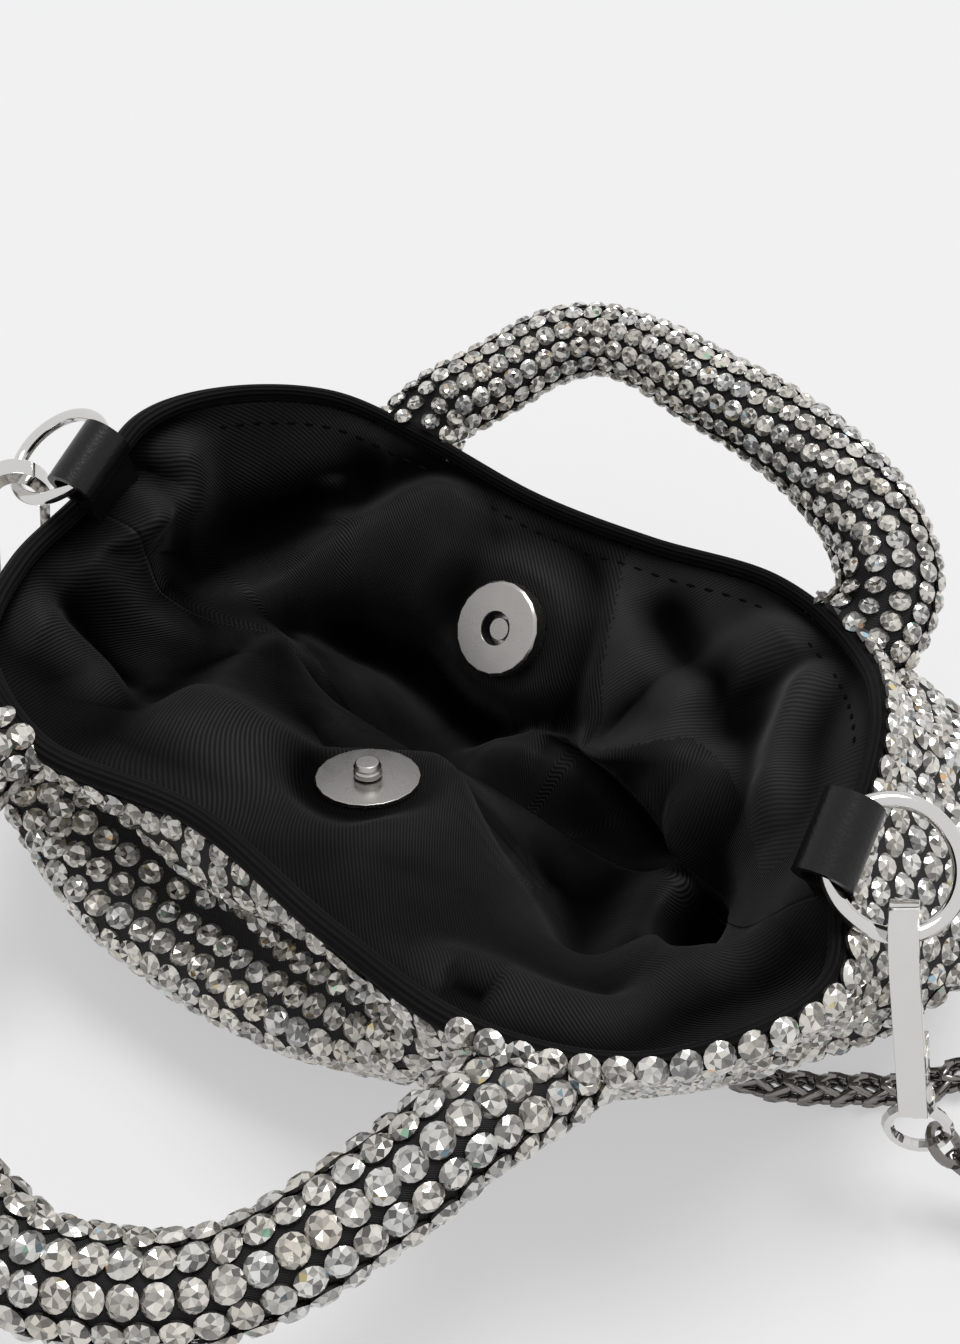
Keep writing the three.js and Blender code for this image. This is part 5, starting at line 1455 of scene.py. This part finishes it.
# %% Cloth
# Gains of the painted shade in the lining's hollows and of the painted sheen on its ridges
HOLLOW_PAINTED_SHADE_GAIN = 0.05
RIDGE_PAINTED_SHEEN_GAIN = 1.7
CLOTH_GLOSS = 0.06


def twill(name, dark, light, pitch_mm, angle_deg, roughness, sheen, strength, with_painted_fold_shade=False):
    """Satin twill: fine slanted ribs from a wave across the cloth places, with a slow change of tone. The
    wave has one rib to pi units, so it is scaled by 1 / pi. With the painted fold shade, the colour and the
    gloss are multiplied by a gain from the hollow gain to the ridge gain with the fold number: painted
    shade in hollows and painted sheen on ridges."""
    finish, tree, shader = new_finish(
        name, Roughness=roughness, Sheen_Weight=sheen, Sheen_Roughness=0.45, Specular_IOR_Level=CLOTH_GLOSS,
    )
    where = add_node(tree, "TexCoord").outputs["UV"]
    scale = 1 / (pitch_mm * METRES)
    turned = {"Vector": where, "Rotation": (0, 0, math.radians(angle_deg)), "Scale": (scale, scale, 1)}
    wave = {
        "Vector": add_node(tree, "Mapping", turned).outputs["Vector"],
        "Scale": 1 / math.pi, "Distortion": 0.25, "Detail": 1.0,
    }
    ribs = add_node(tree, "TexWave", wave, bands_direction="X").outputs["Fac"]
    colour = tones(tree, product(tree, ribs, noise(tree, 60)), dark, light, 0.1, 0.6)
    # Painted shade and sheen: the fold number lowers colour and gloss in hollows and raises them on ridges
    if with_painted_fold_shade:
        painted_fold_shade = add_node(tree, "Attribute", attribute_name="painted_fold_shade").outputs["Fac"]
        gains = {"Value": painted_fold_shade, "To Min": HOLLOW_PAINTED_SHADE_GAIN, "To Max": RIDGE_PAINTED_SHEEN_GAIN}
        gain = add_node(tree, "MapRange", gains).outputs["Result"]
        colour = add_node(tree, "VectorMath", {0: colour, "Scale": gain}, operation="SCALE").outputs[0]
        tree.links.new(product(tree, gain, CLOTH_GLOSS), shader.inputs["Specular IOR Level"])
    tree.links.new(colour, shader.inputs["Base Color"])
    add_relief(tree, shader, ribs, strength, 0.15)
    return finish


# Both satins of the lining carry the painted shade and sheen of the folds
satin = twill(
    "satin_twill", (0.0009, 0.0009, 0.001), (0.0125, 0.0125, 0.0128), 0.58, 35, 0.55, 0.06, 0.6, with_painted_fold_shade=True,
)
pale_satin = twill(
    "pale_twill", (0.006, 0.006, 0.0062), (0.019, 0.019, 0.0193), 0.58, -20, 0.65, 0.1, 0.2, with_painted_fold_shade=True,
)
binding = twill("hem_binding", (0.002, 0.002, 0.0022), (0.007, 0.007, 0.0073), 0.95, 90, 0.6, 0.03, 0.8)
thread_black, _, _ = new_finish(
    "black_thread", Roughness=0.8, Specular_IOR_Level=CLOTH_GLOSS, Base_Color=(0.0008, 0.0008, 0.0008, 1),
)
print("cloths:", satin.name, pale_satin.name, binding.name, thread_black.name)

# %% [markdown]
# The metals are plated: bright on the rings and hooks, brushed on the snap, dark on the chain. The
# leather has a fine grain. Cotton and magnet are inside the bag and only show in its parts.

# %% Metal, leather and cotton
GLOSS_RANGE = (0.7, 1.4)
CLOUD_DARK = 0.93


def metal(name, colour, roughness, scratch):
    """Plated metal: one colour with a little cloudiness in its gloss, and fine marks as relief."""
    finish, tree, shader = new_finish(name, Metallic=1.0, Roughness=roughness, Base_Color=(*colour, 1))
    cloud = noise(tree, 220, 4.0)
    gloss = {"Value": cloud, "To Min": roughness * GLOSS_RANGE[0], "To Max": roughness * GLOSS_RANGE[1]}
    tree.links.new(add_node(tree, "MapRange", gloss).outputs["Result"], shader.inputs["Roughness"])
    clouded = tones(tree, cloud, [c * CLOUD_DARK for c in colour], colour)
    tree.links.new(clouded, shader.inputs["Base Color"])
    add_relief(tree, shader, noise(tree, 3000), scratch, 0.03)
    return finish


nickel = metal("polished_nickel", (0.7, 0.69, 0.67), 0.08, 0.05)
satin_nickel = metal("satin_nickel", (0.44, 0.425, 0.405), 0.26, 0.3)
gunmetal = metal("dark_nickel", (0.23, 0.217, 0.205), 0.16, 0.1)
magnet_black = metal("magnet_black", (0.03, 0.03, 0.03), 0.6, 0.4)

leather, tree, shader = new_finish("black_leather", Roughness=0.3, Specular_IOR_Level=0.27)
where = add_node(tree, "TexCoord").outputs["Object"]
grain = add_node(tree, "TexVoronoi", {"Vector": where, "Scale": 1800}).outputs["Distance"]
shade = tones(tree, grain, (0.003, 0.003, 0.003), (0.008, 0.008, 0.008))
tree.links.new(shade, shader.inputs["Base Color"])
add_relief(tree, shader, grain, 0.25, 0.1)

cotton, tree, shader = new_finish("cotton_cord", Roughness=0.9)
shade = tones(tree, noise(tree, 900), (0.62, 0.6, 0.56), (0.82, 0.8, 0.76))
tree.links.new(shade, shader.inputs["Base Color"])
print("metals:", nickel.name, satin_nickel.name, gunmetal.name, magnet_black.name)

# %% [markdown]
# Each slot of the part has one finish. The pieces made here take theirs, and so do all nodes of the
# frame that keep their own solid.

# %% Finishes on the pieces
FINISH_OF_SLOT = {
    "crystal_mesh": crystal, "lining": satin, "leather": leather, "nickel": nickel,
    "satin_nickel": satin_nickel, "gunmetal": gunmetal, "magnet": magnet_black, "filler": cotton,
}
for piece in crystal_pieces:
    piece.data.materials.append(crystal)
for piece in mesh_pieces:
    piece.data.materials.append(black_mesh)
for piece in lining_pieces:
    piece.data.materials.append(satin)
    piece.data.materials.append(pale_satin)
hem.data.materials.append(binding)
stitches.data.materials.append(thread_black)
chain_strap.data.materials.append(gunmetal)
for piece in fittings:
    piece.data.materials.append(FINISH_OF_SLOT[piece["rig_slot"]])
slot_of_node = {s["node"]: s["material_slot"] for s in frame["record"]["subparts"]}
for node, carried in frame["nodes"].items():
    carried.data.materials.clear()
    carried.data.materials.append(FINISH_OF_SLOT[slot_of_node[node]])
print("slots:", len(FINISH_OF_SLOT))

# %% [markdown]
# The studio is a pale seamless floor under an even sky, with one broad lamp above and behind the bag, so
# that shadows fall softly forwards. The rays that look, from the camera or off a mirror, see the sky as
# nearly white, and half of what they see of the floor is plain too, so that it stays pale in the shadow.

# %% Floor, sky and lamp
FLOOR_HALF = 3000.0
FLOOR_PLAIN_SHARE = 0.5
SKY_LIGHT = 0.45
LAMP_STRENGTH = 1.85
LAMP_ANGLE = math.radians(30)
LAMP_DIRECTION = Vector((-0.05, -0.33, -1.0))


def looking_rays(tree):
    """1 for rays that look, from the camera, off metal or through glass, and 0 for rays that light."""
    rays = add_node(tree, "LightPath").outputs
    looks = rays["Is Camera Ray"]
    for kind in ("Is Glossy Ray", "Is Transmission Ray"):
        looks = add_node(tree, "Math", {0: looks, 1: rays[kind]}, operation="MAXIMUM").outputs[0]
    return looks


def mixed(tree, share, first, second, output):
    """Two shaders mixed by a share and led to the output."""
    mix = add_node(tree, "MixShader", {0: share, 1: first.outputs[0], 2: second.outputs[0]})
    tree.links.new(mix.outputs[0], output.inputs["Surface"])


floor_points = FLOOR_HALF * np.array([[-1, -1, 0], [1, -1, 0], [1, 1, 0], [-1, 1, 0]])
floor = new_piece("studio_floor", floor_points, [np.array([[0, 1, 2, 3]])])
floor_finish, tree, shader = new_finish(
    "pale_floor", Roughness=0.9, Base_Color=(0.86, 0.86, 0.865, 1), Specular_IOR_Level=0.1,
)
plain = add_node(tree, "Emission", {"Color": (0.895, 0.895, 0.905, 1)})
plain_share = product(tree, looking_rays(tree), FLOOR_PLAIN_SHARE)
mixed(tree, plain_share, shader, plain, tree.nodes["Material Output"])
floor.data.materials.append(floor_finish)

sky = bpy.data.worlds.new("studio_sky")
bpy.context.scene.world = sky
sky.use_nodes = True
sky.node_tree.nodes.clear()
sky_light = add_node(sky.node_tree, "Background", {"Color": (1, 1, 1, 1), "Strength": SKY_LIGHT})
sky_seen = add_node(sky.node_tree, "Background", {"Color": (0.89, 0.89, 0.9, 1), "Strength": 1.0})
sky_out = add_node(sky.node_tree, "OutputWorld")
mixed(sky.node_tree, looking_rays(sky.node_tree), sky_light, sky_seen, sky_out)

lamp_data = bpy.data.lights.new("broad_lamp", "SUN")
lamp_data.energy = LAMP_STRENGTH
lamp_data.angle = LAMP_ANGLE
lamp = bpy.data.objects.new("broad_lamp", lamp_data)
lamp.rotation_euler = LAMP_DIRECTION.to_track_quat("-Z", "Y").to_euler()
bpy.context.scene.collection.objects.link(lamp)
bpy.context.scene.view_settings.view_transform = "Standard"
print("lamp:", LAMP_STRENGTH, "sky:", SKY_LIGHT)
